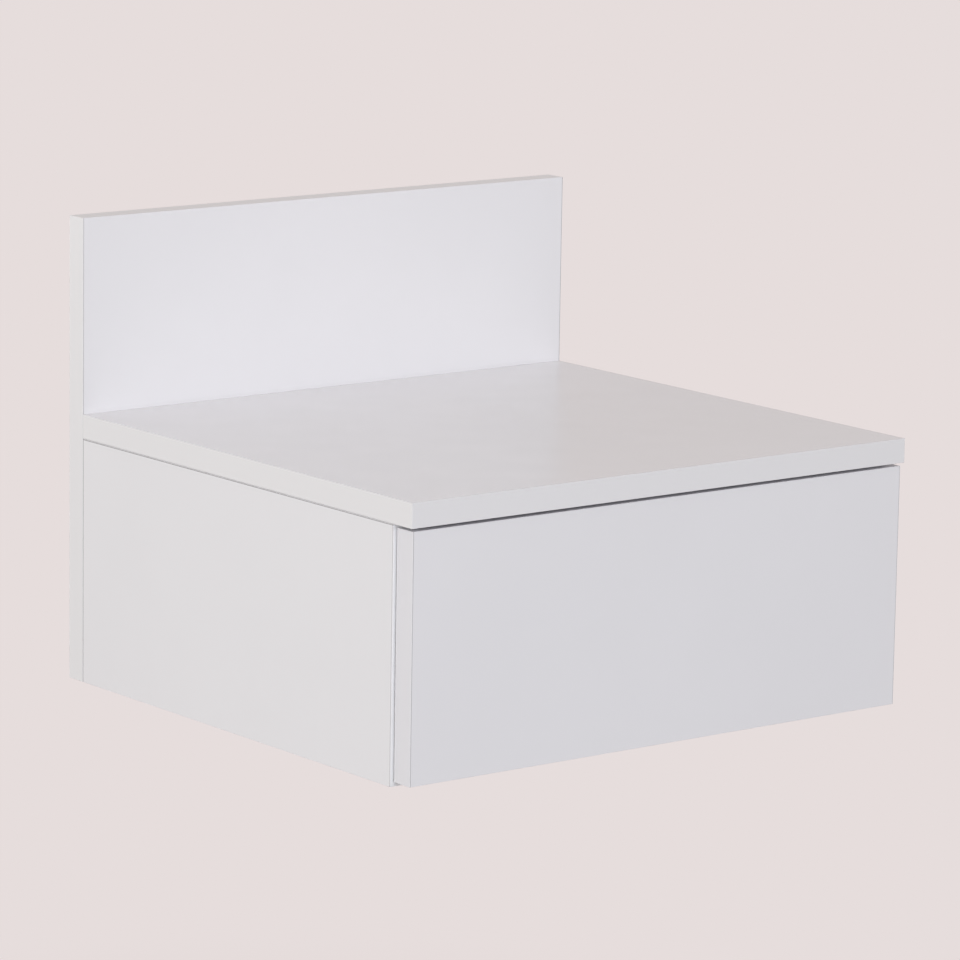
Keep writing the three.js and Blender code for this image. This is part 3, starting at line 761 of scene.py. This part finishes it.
def dowel_mesh(grow=0.0):
    """The dowels at both ends of the drawer's back, or their bores where grow is the clearance."""
    work = bmesh.new()
    middle = middle_of("drawer_back")
    reach = DOWEL_REACH + grow
    radius = DOWEL_RADIUS + grow
    profile = [(0, -DOWEL_ROOT), (radius, -DOWEL_ROOT), (radius, reach - DOWEL_CHAMFER)]
    profile += [(radius - DOWEL_CHAMFER, reach), (0, reach)]
    lower = end_of("drawer_back", UNDER) + DOWEL_INSET
    upper = end_of("drawer_back", ABOVE) - DOWEL_INSET
    for sign in SIDES.values():
        for height in (lower, upper):
            root = Vector((sign * (DRAWER_INNER - GLUE_SEAM), middle.y, height))
            turned(work, profile, frame_at(root, unit(X, sign)), SMALL_BORE_SIDES)
    return work


# Boards. A narrow side is raw or has an edge band. A face lies on a side where the share of its normal
# along it is above ALIGNED, and looks up where the upward share is above UPWARD.
ALIGNED = 0.99
UPWARD = 0.5


def board(node, joints, raw=(), box=None, extra=(), band=CARCASS_BAND):
    low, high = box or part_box(node)
    materials = [melamine(f"{node}_melamine", low, high, joints, band), CHIPBOARD]
    made = link_mesh(f"{node}_fine", rounded(add_box(bmesh.new(), low, high), EDGE_RADIUS), materials)
    for face in made.data.polygons:
        if any(face.normal.dot(unit(*side)) > ALIGNED for side in raw):
            face.material_index = materials.index(CHIPBOARD)
    combine(made, [*fitting_bores(node), *extra])
    finish_piece(made, node)


def build_boards():
    board("top_panel", {LEFT: FAINT_LINE, RIGHT: FAINT_LINE, FRONT: FAINT_LINE}, raw=[REAR])
    # Strong lines carry painted shade: the backboard's sides, the side panels' fronts and the drawer front's
    # left.
    board("backboard", {LEFT: SHADED_EDGE_LINE, RIGHT: SHADED_EDGE_LINE}, extra=[wall_hole_tools()])
    # The side panels' rear and top lines are painted shadow of their seams with the back and the top.
    panel_joints = {FRONT: SHADED_EDGE_LINE, REAR: SEAM_SHADOW_LINE, ABOVE: SEAM_SHADOW_LINE}
    # Their narrow sides take the lighter band, painted to lift the shade in the gap by the drawer front.
    for side in SIDES:
        board(f"side_panel_{side}", panel_joints, band=SIDE_BAND_PAINTED_LIGHT)
    board("bottom_panel", {FRONT: FAINT_LINE}, raw=[LEFT, RIGHT, REAR])
    front_joints = {LEFT: SHADED_EDGE_LINE, RIGHT: FAINT_LINE}
    # Its narrow sides take the darker band, painted shade for the gap under the top.
    board("drawer_front", front_joints, extra=[groove_tool()], band=FRONT_BAND_PAINTED_SHADE)
    box_joints = {UNDER: FAINT_LINE, ABOVE: FAINT_LINE}
    for side in SIDES:
        holes = [groove_tool(), dowel_mesh(FIT_CLEARANCE)]
        board(f"drawer_side_{side}", box_joints | {REAR: FAINT_LINE}, raw=[FRONT], extra=holes)
    low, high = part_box("drawer_back")
    low.x = end_of("drawer_side_left", RIGHT) + GLUE_SEAM
    high.x = DRAWER_INNER - GLUE_SEAM
    board("drawer_back", box_joints, raw=[LEFT, RIGHT], box=(low, high), extra=[groove_tool()])
    dowels = link_mesh("drawer_back_dowels", dowel_mesh(), [DOWEL_WOOD])
    finish_piece(dowels, "drawer_back")


def build_drawer_floor():
    work = rounded(add_box(bmesh.new(), *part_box("drawer_bottom")), EDGE_RADIUS)
    for face in work.faces:
        face.normal_update()
        face.material_index = 0 if face.normal.z > UPWARD else 1
    made = link_mesh("drawer_bottom_fine", work, [FLOOR_FACE, FLOOR_BACK])
    finish_piece(made, "drawer_bottom")


# Runners: rolled channels drawn as centre lines in the plane across the runner. The first axis runs from
# the side panel to the drawer, the second is height, and each line is mirrored about the middle.
SHEET = 0.001
BALL_RADIUS = 0.0015
BALL_CLEARANCE = 0.00025
CHANNEL_CORNER = 0.0016
LIP_ANGLE = math.radians(10)
DRAWER_LIP_ANGLE = math.radians(20)
CAGE_SHEET = 0.0006
CAGE_CORNER = 0.0007
CAGE_CLEARANCE = 0.0003
CAGE_END_MARGIN = 0.009
CAGE_TIP_SHARE = 0.7
BALLS_PER_ROW = 5
BALL_SEGMENTS = 24
BALL_RINGS = 16
CURL_STEPS = 26
CORNER_STEPS = 10
TIP_STEPS = 6
SLOT_LENGTH = 0.020
SLOT_WIDTH = 0.009
SCREW_INSET = 0.034
FIXING_RADIUS = 0.0022
FIXING_STEP = 0.032

RACE_RADIUS = BALL_RADIUS + BALL_CLEARANCE + SHEET / 2
CABINET_FLANGE = length_of("runner_right_cabinet_member", Z) / 2 - SHEET / 2
OUTER_BALL_HEIGHT = CABINET_FLANGE - RACE_RADIUS
MIDDLE_FLANGE = OUTER_BALL_HEIGHT - RACE_RADIUS
INNER_BALL_HEIGHT = MIDDLE_FLANGE - RACE_RADIUS
DRAWER_FLANGE = INNER_BALL_HEIGHT - RACE_RADIUS
CAGE_STEP = CAGE_SHEET + 2 * CAGE_CLEARANCE
CABINET_WEB = SHEET / 2
OUTER_CAGE = SHEET + CAGE_CLEARANCE + CAGE_SHEET / 2
MIDDLE_WEB = CABINET_WEB + SHEET + CAGE_STEP
INNER_CAGE = OUTER_CAGE + SHEET + CAGE_STEP
DRAWER_WEB = CABINET_INNER - end_of("drawer_side_right", RIGHT) - SHEET / 2
INNER_BALL_ACROSS = INNER_CAGE + CAGE_SHEET / 2 + CAGE_CLEARANCE + SHEET / 2 + RACE_RADIUS
INNER_BALL = (INNER_BALL_ACROSS, INNER_BALL_HEIGHT)
OUTER_BALL = (INNER_BALL_ACROSS - SHEET, OUTER_BALL_HEIGHT)


def arc(centre, radius, start, end, steps):
    across, up = centre
    turns = [start + (end - start) * step / steps for step in range(steps + 1)]
    return [Vector((across + radius * math.cos(turn), up + radius * math.sin(turn))) for turn in turns]


def mirrored(half):
    return half + [Vector((spot.x, -spot.y)) for spot in reversed(half)]


def channel_line(web, flange, ball, lip_from, lip_to):
    """A channel's whole centre line: the curled lip round the ball, the web's corner, and their mirror."""
    opens = sign_of(ball[0] - web)
    bend = (web + opens * CHANNEL_CORNER, flange - CHANNEL_CORNER)
    half = arc(ball, RACE_RADIUS, lip_from, lip_to, CURL_STEPS)
    half += arc(bend, CHANNEL_CORNER, math.pi / 2, math.pi if opens > 0 else 0.0, CORNER_STEPS)
    return mirrored(half)


def cage_line(web, ball):
    bend = (web + CAGE_CORNER, ball[1] - CAGE_CORNER)
    tip = Vector((ball[0] + BALL_RADIUS * CAGE_TIP_SHARE - CAGE_SHEET / 2, ball[1]))
    return mirrored([tip, *arc(bend, CAGE_CORNER, math.pi / 2, math.pi, CORNER_STEPS)])


def strip_outline(line, thickness):
    """The outline of a strip of even thickness along a centre line, with mitred corners and round ends."""
    half = thickness / 2
    runs = [(after - before).normalized() for before, after in zip(line, line[1:])]
    normals = [Vector((-run.y, run.x)) for run in runs]
    sides = {1: [], -1: []}
    for index, spot in enumerate(line):
        before = normals[max(index - 1, 0)]
        after = normals[min(index, len(normals) - 1)]
        mitre = (before + after).normalized()
        for sign, side in sides.items():
            side.append(spot + mitre * (sign * half / mitre.dot(after)))

    def cap(middle, run):
        heading = math.atan2(run.y, run.x)
        return arc(middle, half, heading + math.pi / 2, heading - math.pi / 2, TIP_STEPS)[1:-1]

    return sides[1] + cap(line[-1], runs[-1]) + sides[-1][::-1] + cap(line[0], -runs[0])


def rolled_strip(node, side, line, thickness):
    """A strip of sheet as long as the node, whose centre line is drawn across the runner."""
    low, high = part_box(node)
    height = (low.z + high.z) / 2

    def place(spot, along):
        return SIDES[side] * (CABINET_INNER - spot.x), along, height + spot.y

    work = bmesh.new()
    prism(work, strip_outline(line, thickness), low.y, high.y, place)
    return work


def screw_frame(screw):
    """Where a screw's head ends, with +Z pointing out of it, away from the board, and the screw's length."""
    name, axis = screw.name, screw.axis
    head = middle_of(name)
    facing = sign_of(head[axis] - middle_of(screw.board)[axis])
    head[axis] = end_of(name, (axis, facing))
    return frame_at(head, unit(axis, facing)), length_of(name, axis)


def add_screw_hole(work, screw):
    """A countersunk hole for a screw."""
    matrix, length = screw_frame(screw)
    shank = SCREW_RADIUS + FIT_CLEARANCE
    head = SCREW_HEAD_RADIUS + FIT_CLEARANCE
    mouth = FIT_CLEARANCE + OVERRUN
    profile = [
        (0, -length - FIT_CLEARANCE),
        (shank, SCREW_TIP - length),
        (shank, -SCREW_HEAD_HEIGHT),
        (head, 0),
        (head, mouth),
        (0, mouth),
    ]
    turned(work, profile, matrix)


def web_holes(side, home):
    """Countersunk screw holes and the spare round ones of a cabinet or drawer channel."""
    work = bmesh.new()
    low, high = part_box(f"runner_{side}_{home}_member")
    for screw in SCREWS:
        if screw.name.startswith(f"runner_{side}_{home}"):
            add_screw_hole(work, screw)
    spare = low.y + SCREW_INSET + FIXING_STEP
    while spare < high.y - SCREW_INSET - FIXING_STEP / 2:
        middle = Vector((0, spare, (low.z + high.z) / 2))
        drum(work, X, middle, FIXING_RADIUS, low.x - OVERRUN, high.x + OVERRUN, SMALL_BORE_SIDES)
        spare += FIXING_STEP
    return work


def access_slots(side):
    """Slots in the middle channel that let a screwdriver reach the cabinet's screws."""
    low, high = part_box(f"runner_{side}_middle_member")
    height = (low.z + high.z) / 2
    shift = (SLOT_LENGTH - SLOT_WIDTH) / 2

    def place(spot, across):
        return across, spot.x, height + spot.y

    tools = []
    for along in (low.y + SCREW_INSET, high.y - SCREW_INSET):
        outline = []
        for middle, start in ((along + shift, -math.pi / 2), (along - shift, math.pi / 2)):
            outline += arc((middle, 0), SLOT_WIDTH / 2, start, start + math.pi, BORE_SIDES // 2)
        tool = bmesh.new()
        prism(tool, outline, low.x - OVERRUN, high.x + OVERRUN, place)
        tools.append(tool)
    return tools


def member(side, name, line, tools):
    node = f"runner_{side}_{name}_member"
    made = link_mesh(f"{node}_fine", rolled_strip(node, side, line, SHEET), [RUNNER_STEEL])
    combine(made, tools)
    finish_piece(made, node)


def cage(side, name, web, ball):
    node = f"runner_{side}_{name}_cage"
    low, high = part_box(node)
    work = rolled_strip(node, side, cage_line(web, ball), CAGE_SHEET)
    strip_faces = len(work.faces)
    across = SIDES[side] * (CABINET_INNER - ball[0])
    pitch = (high.y - low.y - 2 * CAGE_END_MARGIN) / (BALLS_PER_ROW - 1)
    for index in range(BALLS_PER_ROW):
        for level in (-ball[1], ball[1]):
            along = low.y + CAGE_END_MARGIN + index * pitch
            middle = Vector((across, along, (low.z + high.z) / 2 + level))
            bmesh.ops.create_uvsphere(
                work, u_segments=BALL_SEGMENTS, v_segments=BALL_RINGS, radius=BALL_RADIUS,
                matrix=Matrix.Translation(middle),
            )
    work.faces.ensure_lookup_table()
    for face in work.faces[strip_faces:]:
        face.material_index = 1
    made = link_mesh(f"{node}_fine", work, [CAGE_STEEL, BALL_STEEL])
    finish_piece(made, node)


def build_runners():
    # The lips' round ends reach half a sheet past the centre line, so the line stops that much short
    trim = SHEET / 2 / RACE_RADIUS
    lip = trim - LIP_ANGLE
    drawer_lip = DRAWER_LIP_ANGLE - math.pi + trim
    cabinet = channel_line(CABINET_WEB, CABINET_FLANGE, OUTER_BALL, lip, math.pi / 2)
    middle = channel_line(MIDDLE_WEB, MIDDLE_FLANGE, INNER_BALL, lip, math.pi / 2)
    drawer = channel_line(DRAWER_WEB, DRAWER_FLANGE, INNER_BALL, drawer_lip, -math.pi / 2)
    for side in SIDES:
        member(side, "cabinet", cabinet, [web_holes(side, "cabinet")])
        member(side, "middle", middle, access_slots(side))
        member(side, "drawer", drawer, [web_holes(side, "drawer")])
        cage(side, "outer", OUTER_CAGE, OUTER_BALL)
        cage(side, "inner", INNER_CAGE, INNER_BALL)


# Screws, bolts and cams. A rim is the small slope on a turned edge.
Recess = namedtuple("Recess", "reach width depth taper")
SCREW_RECESS = Recess(reach=0.0019, width=0.0008, depth=0.0017, taper=0.4)
CAM_RECESS_SHARE = 0.5
CAM_RECESS_WIDTH = 0.0016
CAM_RECESS_DEPTH = 0.0012
CAM_RING = 0.0016
CAM_GROOVE = 0.0003
RIM = 0.0004
THREAD_SIDES = 24


def cross_tools(reach, width, depth, taper=1.0):
    """Two slots that cross, sunk from the origin along -Z and narrowing to their floor."""
    tools = []
    for turn in (0.0, math.pi / 2):
        work = bmesh.new()
        bmesh.ops.create_cube(work, size=2.0)
        for vert in work.verts:
            share = 1.0 if vert.co.z > 0 else taper
            height = OVERRUN if vert.co.z > 0 else -depth
            vert.co = Vector((vert.co.x * reach * share, vert.co.y * width / 2 * share, height))
        work.transform(Matrix.Rotation(turn, 4, "Z"))
        tools.append(work)
    return tools


def screw_pattern(length):
    thread_end = -SCREW_HEAD_HEIGHT - SCREW_PITCH
    profile = [
        (0, -length),
        (SCREW_RADIUS, SCREW_TIP - length),
        (SCREW_RADIUS, thread_end),
        (SCREW_RADIUS - SCREW_THREAD_DEPTH, thread_end + SCREW_PITCH / 2),
        (SCREW_RADIUS, -SCREW_HEAD_HEIGHT),
        (SCREW_HEAD_RADIUS - SCREW_RIM, -SCREW_RIM),
        (SCREW_HEAD_RADIUS - 2 * SCREW_RIM, 0),
        (0, 0),
    ]
    thread = Thread(-length, thread_end, SCREW_PITCH, SCREW_THREAD_DEPTH)
    work = turned(bmesh.new(), profile, sides=THREAD_SIDES, thread=thread)
    made = link_mesh("screw_pattern", work, [FASTENER_STEEL])
    combine(made, cross_tools(*SCREW_RECESS))
    return made


def bolt_pattern(head_end):
    """The seam is at the origin: the thread runs down from it, and the neck and head stand up from it."""
    head = head_end - BOLT_HEAD_LENGTH
    neck = head - BOLT_NECK_LENGTH
    profile = [
        (0, -BOLT_GRIP),
        (BOLT_TIP_RADIUS, -BOLT_GRIP),
        (BOLT_THREAD_RADIUS, BOLT_TAPER - BOLT_GRIP),
        (BOLT_THREAD_RADIUS, 0),
        (BOLT_SHANK_RADIUS - RIM, 0),
        (BOLT_SHANK_RADIUS, RIM),
        (BOLT_SHANK_RADIUS, neck - RIM),
        (BOLT_SHANK_RADIUS - RIM, neck),
        (BOLT_NECK_RADIUS, neck + RIM),
        (BOLT_NECK_RADIUS, head),
        (BOLT_HEAD_RADIUS - RIM, head),
        (BOLT_HEAD_RADIUS, head + RIM),
        (BOLT_HEAD_RADIUS, head_end - RIM),
        (BOLT_HEAD_RADIUS - RIM, head_end),
        (0, head_end),
    ]
    thread = Thread(-BOLT_GRIP, 0, BOLT_PITCH, BOLT_THREAD_DEPTH)
    work = turned(bmesh.new(), profile, sides=THREAD_SIDES, thread=thread)
    return link_mesh("bolt_pattern", work, [FASTENER_STEEL])


def cam_pattern(kind, half):
    """+Z points out of the board's face and +X towards the seam. half is how deep the bolt's axis lies."""
    radius, height = kind
    ring = radius - CAM_RING
    profile = [
        (0, -height),
        (radius - RIM, -height),
        (radius, RIM - height),
        (radius, -RIM),
        (radius - RIM, 0),
        (ring, 0),
        (ring - CAM_GROOVE, -CAM_GROOVE),
        (ring - 2 * CAM_GROOVE, 0),
        (0, 0),
    ]
    made = link_mesh("cam_pattern", turned(bmesh.new(), profile), [CAM_ALLOY])
    head_room = BOLT_HEAD_RADIUS + FIT_CLEARANCE
    neck_room = BOLT_NECK_RADIUS + FIT_CLEARANCE
    shank_room = BOLT_SHANK_RADIUS + FIT_CLEARANCE
    head_reach = BOLT_HEAD_LENGTH / 2 + FIT_CLEARANCE
    shank_start = BOLT_HEAD_LENGTH / 2 + BOLT_NECK_LENGTH
    below = -height - OVERRUN
    beyond = radius + OVERRUN
    axis = (0, 0, -half)
    pocket = drum(bmesh.new(), X, axis, head_room, -head_reach, head_reach)
    window = add_box(bmesh.new(), (-head_reach, -head_room, below), (head_reach, head_room, -half))
    slot = add_box(bmesh.new(), (0, -neck_room, below), (beyond, neck_room, neck_room - half))
    shank = drum(bmesh.new(), X, axis, shank_room, shank_start, beyond)
    recess = cross_tools(radius * CAM_RECESS_SHARE, CAM_RECESS_WIDTH, CAM_RECESS_DEPTH)
    combine(made, [pocket, window, slot, shank, *recess])
    return made


def cam_frames(joint):
    """The frames of a joint's cam and bolt, how far its bolt lies below its face, and where its head ends.

    The cam's frame is at its face, and the bolt's is at the seam that it crosses.
    """
    cam, cam_axis = f"{joint.name}_cam", joint.cam_axis
    bolt, bolt_axis = f"{joint.name}_bolt", joint.bolt_axis
    mouth, seam = middle_of(cam), middle_of(bolt)
    face_sign = flush_with(cam, joint.cam_board, cam_axis)
    seam_sign = sign_of(seam[bolt_axis] - mouth[bolt_axis])
    mouth[cam_axis] = end_of(cam, (cam_axis, face_sign))
    half = abs(mouth[cam_axis] - seam[cam_axis])
    seam[bolt_axis] = end_of(bolt, (bolt_axis, seam_sign)) - seam_sign * BOLT_GRIP
    cam_frame = frame_at(mouth, unit(cam_axis, face_sign), unit(bolt_axis, seam_sign))
    bolt_frame = frame_at(seam, unit(bolt_axis, -seam_sign))
    return cam_frame, bolt_frame, half, length_of(bolt, bolt_axis) - BOLT_GRIP


def build_fasteners():
    patterns = {}

    def pattern(key, make, *sizes):
        if key not in patterns:
            patterns[key] = make(*sizes)
        return patterns[key]

    for screw in SCREWS:
        matrix, length = screw_frame(screw)
        shape = pattern(round(length, KEY_DIGITS), screw_pattern, length)
        placed(shape, screw.name, matrix)
    for joint in CAM_JOINTS:
        cam, bolt, half, head_end = cam_frames(joint)
        cam_shape = pattern(joint.kind, cam_pattern, joint.kind, half)
        bolt_shape = pattern("bolt", bolt_pattern, head_end)
        placed(cam_shape, f"{joint.name}_cam", cam)
        placed(bolt_shape, f"{joint.name}_bolt", bolt)
    for shape in patterns.values():
        bpy.data.objects.remove(shape)


# Push latch
LATCH_BARREL_RADIUS = 0.007
LATCH_EDGE = 0.0006
LATCH_BASE_THICKNESS = 0.0025
LATCH_BASE_CORNER = 0.005
LATCH_BASE_EDGE = 0.0003
LATCH_SPRING_ROOM = 0.015
LATCH_RIB_WIDTH = 0.0012
LATCH_RIB_HALF = 0.0035
LATCH_RIB_INSET = 0.0005
LATCH_RIB_STEP = 0.004
LATCH_RIBS = 4
PLUNGER_RADIUS = 0.0036
PLUNGER_TIP_RADIUS = 0.005
PLUNGER_TIP_LENGTH = 0.0025
PLUNGER_EDGE = 0.0008
PLUNGER_STEP_EDGE = 0.0004


def latch_barrel(low, high, axis):
    """The housing's body: a round top on two straight walls."""
    foot = low.z - axis
    outline = [Vector((-LATCH_BARREL_RADIUS, foot)), Vector((LATCH_BARREL_RADIUS, foot))]
    outline += arc((0, 0), LATCH_BARREL_RADIUS, 0.0, math.pi, BORE_SIDES // 2)
    return soft_prism(outline, low.y, high.y, lambda spot, y: (spot.x, y, axis + spot.y), LATCH_EDGE)


def latch_base(low, high):
    """The housing's square plate with round corners."""
    middle = (low.y + high.y) / 2
    half = (high.x - low.x) / 2
    straight = half - LATCH_BASE_CORNER
    outline = []
    for quarter, (across, along) in enumerate(((1, 1), (-1, 1), (-1, -1), (1, -1))):
        centre = (across * straight, middle + along * straight)
        start = quarter * math.pi / 2
        outline += arc(centre, LATCH_BASE_CORNER, start, start + math.pi / 2, CORNER_STEPS)
    top = low.z + LATCH_BASE_THICKNESS
    return soft_prism(outline, low.z, top, lambda spot, z: (spot.x, spot.y, z), LATCH_BASE_EDGE)


def latch_cuts(low, high, axis):
    """The plunger's bore, the screws' holes, and the grooves between the grip ribs on the barrel's walls."""
    bore, holes, grooves = bmesh.new(), bmesh.new(), bmesh.new()
    radius = PLUNGER_RADIUS + FIT_CLEARANCE
    drum(bore, Y, (0, 0, axis), radius, low.y - OVERRUN, high.y - LATCH_SPRING_ROOM)
    for screw in SCREWS:
        if screw.name.startswith("push_latch"):
            add_screw_hole(holes, screw)
    for index in range(LATCH_RIBS):
        start = high.y - LATCH_RIB_STEP * (index + 1)
        for sign in SIDES.values():
            wall = sign * LATCH_BARREL_RADIUS
            add_box(
                grooves,
                (wall - LATCH_RIB_INSET, start, axis - LATCH_RIB_HALF),
                (wall + LATCH_RIB_INSET, start + LATCH_RIB_WIDTH, axis + LATCH_RIB_HALF),
            )
    return [bore, holes, grooves]


def build_latch():
    low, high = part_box("push_latch_housing")
    axis = high.z - LATCH_BARREL_RADIUS
    made = link_mesh("push_latch_housing_fine", latch_barrel(low, high, axis), [LATCH_PLASTIC])
    combine(made, [latch_base(low, high)], "UNION")
    combine(made, latch_cuts(low, high, axis))
    finish_piece(made, "push_latch_housing")
    build_plunger(axis)


def build_plunger(axis):
    low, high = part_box("push_latch_plunger")
    length = high.y - low.y
    tip = length - PLUNGER_TIP_LENGTH
    profile = [
        (0, 0),
        (PLUNGER_RADIUS - PLUNGER_EDGE, 0),
        (PLUNGER_RADIUS, PLUNGER_EDGE),
        (PLUNGER_RADIUS, tip),
        (PLUNGER_TIP_RADIUS - PLUNGER_STEP_EDGE, tip),
        (PLUNGER_TIP_RADIUS, tip + PLUNGER_STEP_EDGE),
    ]
    centre = (PLUNGER_TIP_RADIUS - PLUNGER_EDGE, length - PLUNGER_EDGE)
    profile += [tuple(spot) for spot in arc(centre, PLUNGER_EDGE, 0.0, math.pi / 2, CORNER_STEPS)]
    profile.append((0, length))
    work = turned(bmesh.new(), profile, frame_at(Vector((0, high.y, axis)), unit(Y, -1)))
    made = link_mesh("push_latch_plunger_fine", work, [LATCH_PLASTIC])
    finish_piece(made, "push_latch_plunger")


# Camera, world, floor and lamps
def make_camera():
    yaw, pitch, roll = CAMERA_YAW, CAMERA_PITCH, CAMERA_ROLL
    forward = Vector((
        math.sin(yaw) * math.cos(pitch),
        math.cos(yaw) * math.cos(pitch),
        -math.sin(pitch),
    ))
    level_right = Vector((math.cos(yaw), -math.sin(yaw), 0))
    level_up = level_right.cross(forward)
    right = level_right * math.cos(roll) + level_up * math.sin(roll)
    up = level_up * math.cos(roll) - level_right * math.sin(roll)
    turn = Matrix((right, up, -forward)).transposed()
    camera = add_object("camera", bpy.data.cameras.new("camera"))
    camera.data.lens = CAMERA_LENS
    camera.data.sensor_width = CAMERA_SENSOR
    place = Vector(CAMERA_AIM) - forward * CAMERA_DISTANCE
    camera.matrix_world = Matrix.Translation(place) @ turn.to_4x4()
    scene.camera = camera


def seen_directly(tree):
    """1 for rays from the camera, and for reflected and refracted ones."""
    rays = tree.add("ShaderNodeLightPath").outputs
    mirrored_ray = tree.math("MAXIMUM", rays["Is Glossy Ray"], rays["Is Transmission Ray"])
    return tree.math("MAXIMUM", rays["Is Camera Ray"], mirrored_ray)


def make_world():
    scene.world = bpy.data.worlds.new("studio")
    tree = Tree(scene.world)
    ambient = tree.add("ShaderNodeBackground", Color=AMBIENT, Strength=AMBIENT_STRENGTH).outputs[0]
    camera_ray = tree.add("ShaderNodeLightPath").outputs["Is Camera Ray"]
    strength = tree.ramp(camera_ray, 0.0, 1.0, MIRRORED_STRENGTH, 1.0)
    backdrop = tree.add("ShaderNodeBackground", Color=BACKDROP, Strength=strength).outputs[0]
    tree.add("ShaderNodeOutputWorld", Surface=tree.mix_shaders(seen_directly(tree), ambient, backdrop))


def make_floor():
    tree = material_tree("floor")
    places = tree.places()
    squares = [tree.math("MULTIPLY", places[axis], places[axis]) for axis in (X, Y)]
    distance = tree.math("SQRT", tree.math("ADD", *squares))
    away = tree.ramp(distance, SHADOW_INNER, SHADOW_OUTER, FLOOR_FLAT_SHARE, 1.0)
    bounced = tree.add("ShaderNodeLightPath").outputs["Is Diffuse Ray"]
    bounce = tree.mix(tree.ramp(distance, SHADOW_INNER, SHADOW_OUTER), NEAR_BOUNCE, FAR_BOUNCE)
    lit = tree.add("ShaderNodeBsdfDiffuse", Color=tree.mix(bounced, FLOOR_COLOUR, bounce)).outputs[0]
    flat = tree.add("ShaderNodeEmission", Color=BACKDROP, Strength=1.0).outputs[0]
    shown_flat = tree.math("MULTIPLY", seen_directly(tree), away)
    tree.add("ShaderNodeOutputMaterial", Surface=tree.mix_shaders(shown_flat, lit, flat))
    work = bmesh.new()
    bmesh.ops.create_grid(work, x_segments=1, y_segments=1, size=FLOOR_HALF)
    floor = link_mesh("floor", work, [tree.owner])
    floor.location.z = FLOOR_HEIGHT


def make_lamp(name, lamp):
    light = bpy.data.lights.new(name, "AREA")
    light.shape = "SQUARE"
    light.size = LAMP_SIZE
    light.energy = lamp.power
    light.color = lamp.colour
    holder = add_object(name, light)
    holder.location = lamp.place
    towards = (CAD_LOW + CAD_HIGH) / 2 - Vector(lamp.place)
    holder.rotation_euler = towards.to_track_quat("-Z", "Y").to_euler()


def make_studio():
    scene.view_settings.view_transform = "Standard"
    make_world()
    make_floor()
    for name, lamp in LAMPS.items():
        make_lamp(name, lamp)


make_camera()
make_studio()
build_boards()
build_drawer_floor()
build_runners()
build_fasteners()
build_latch()
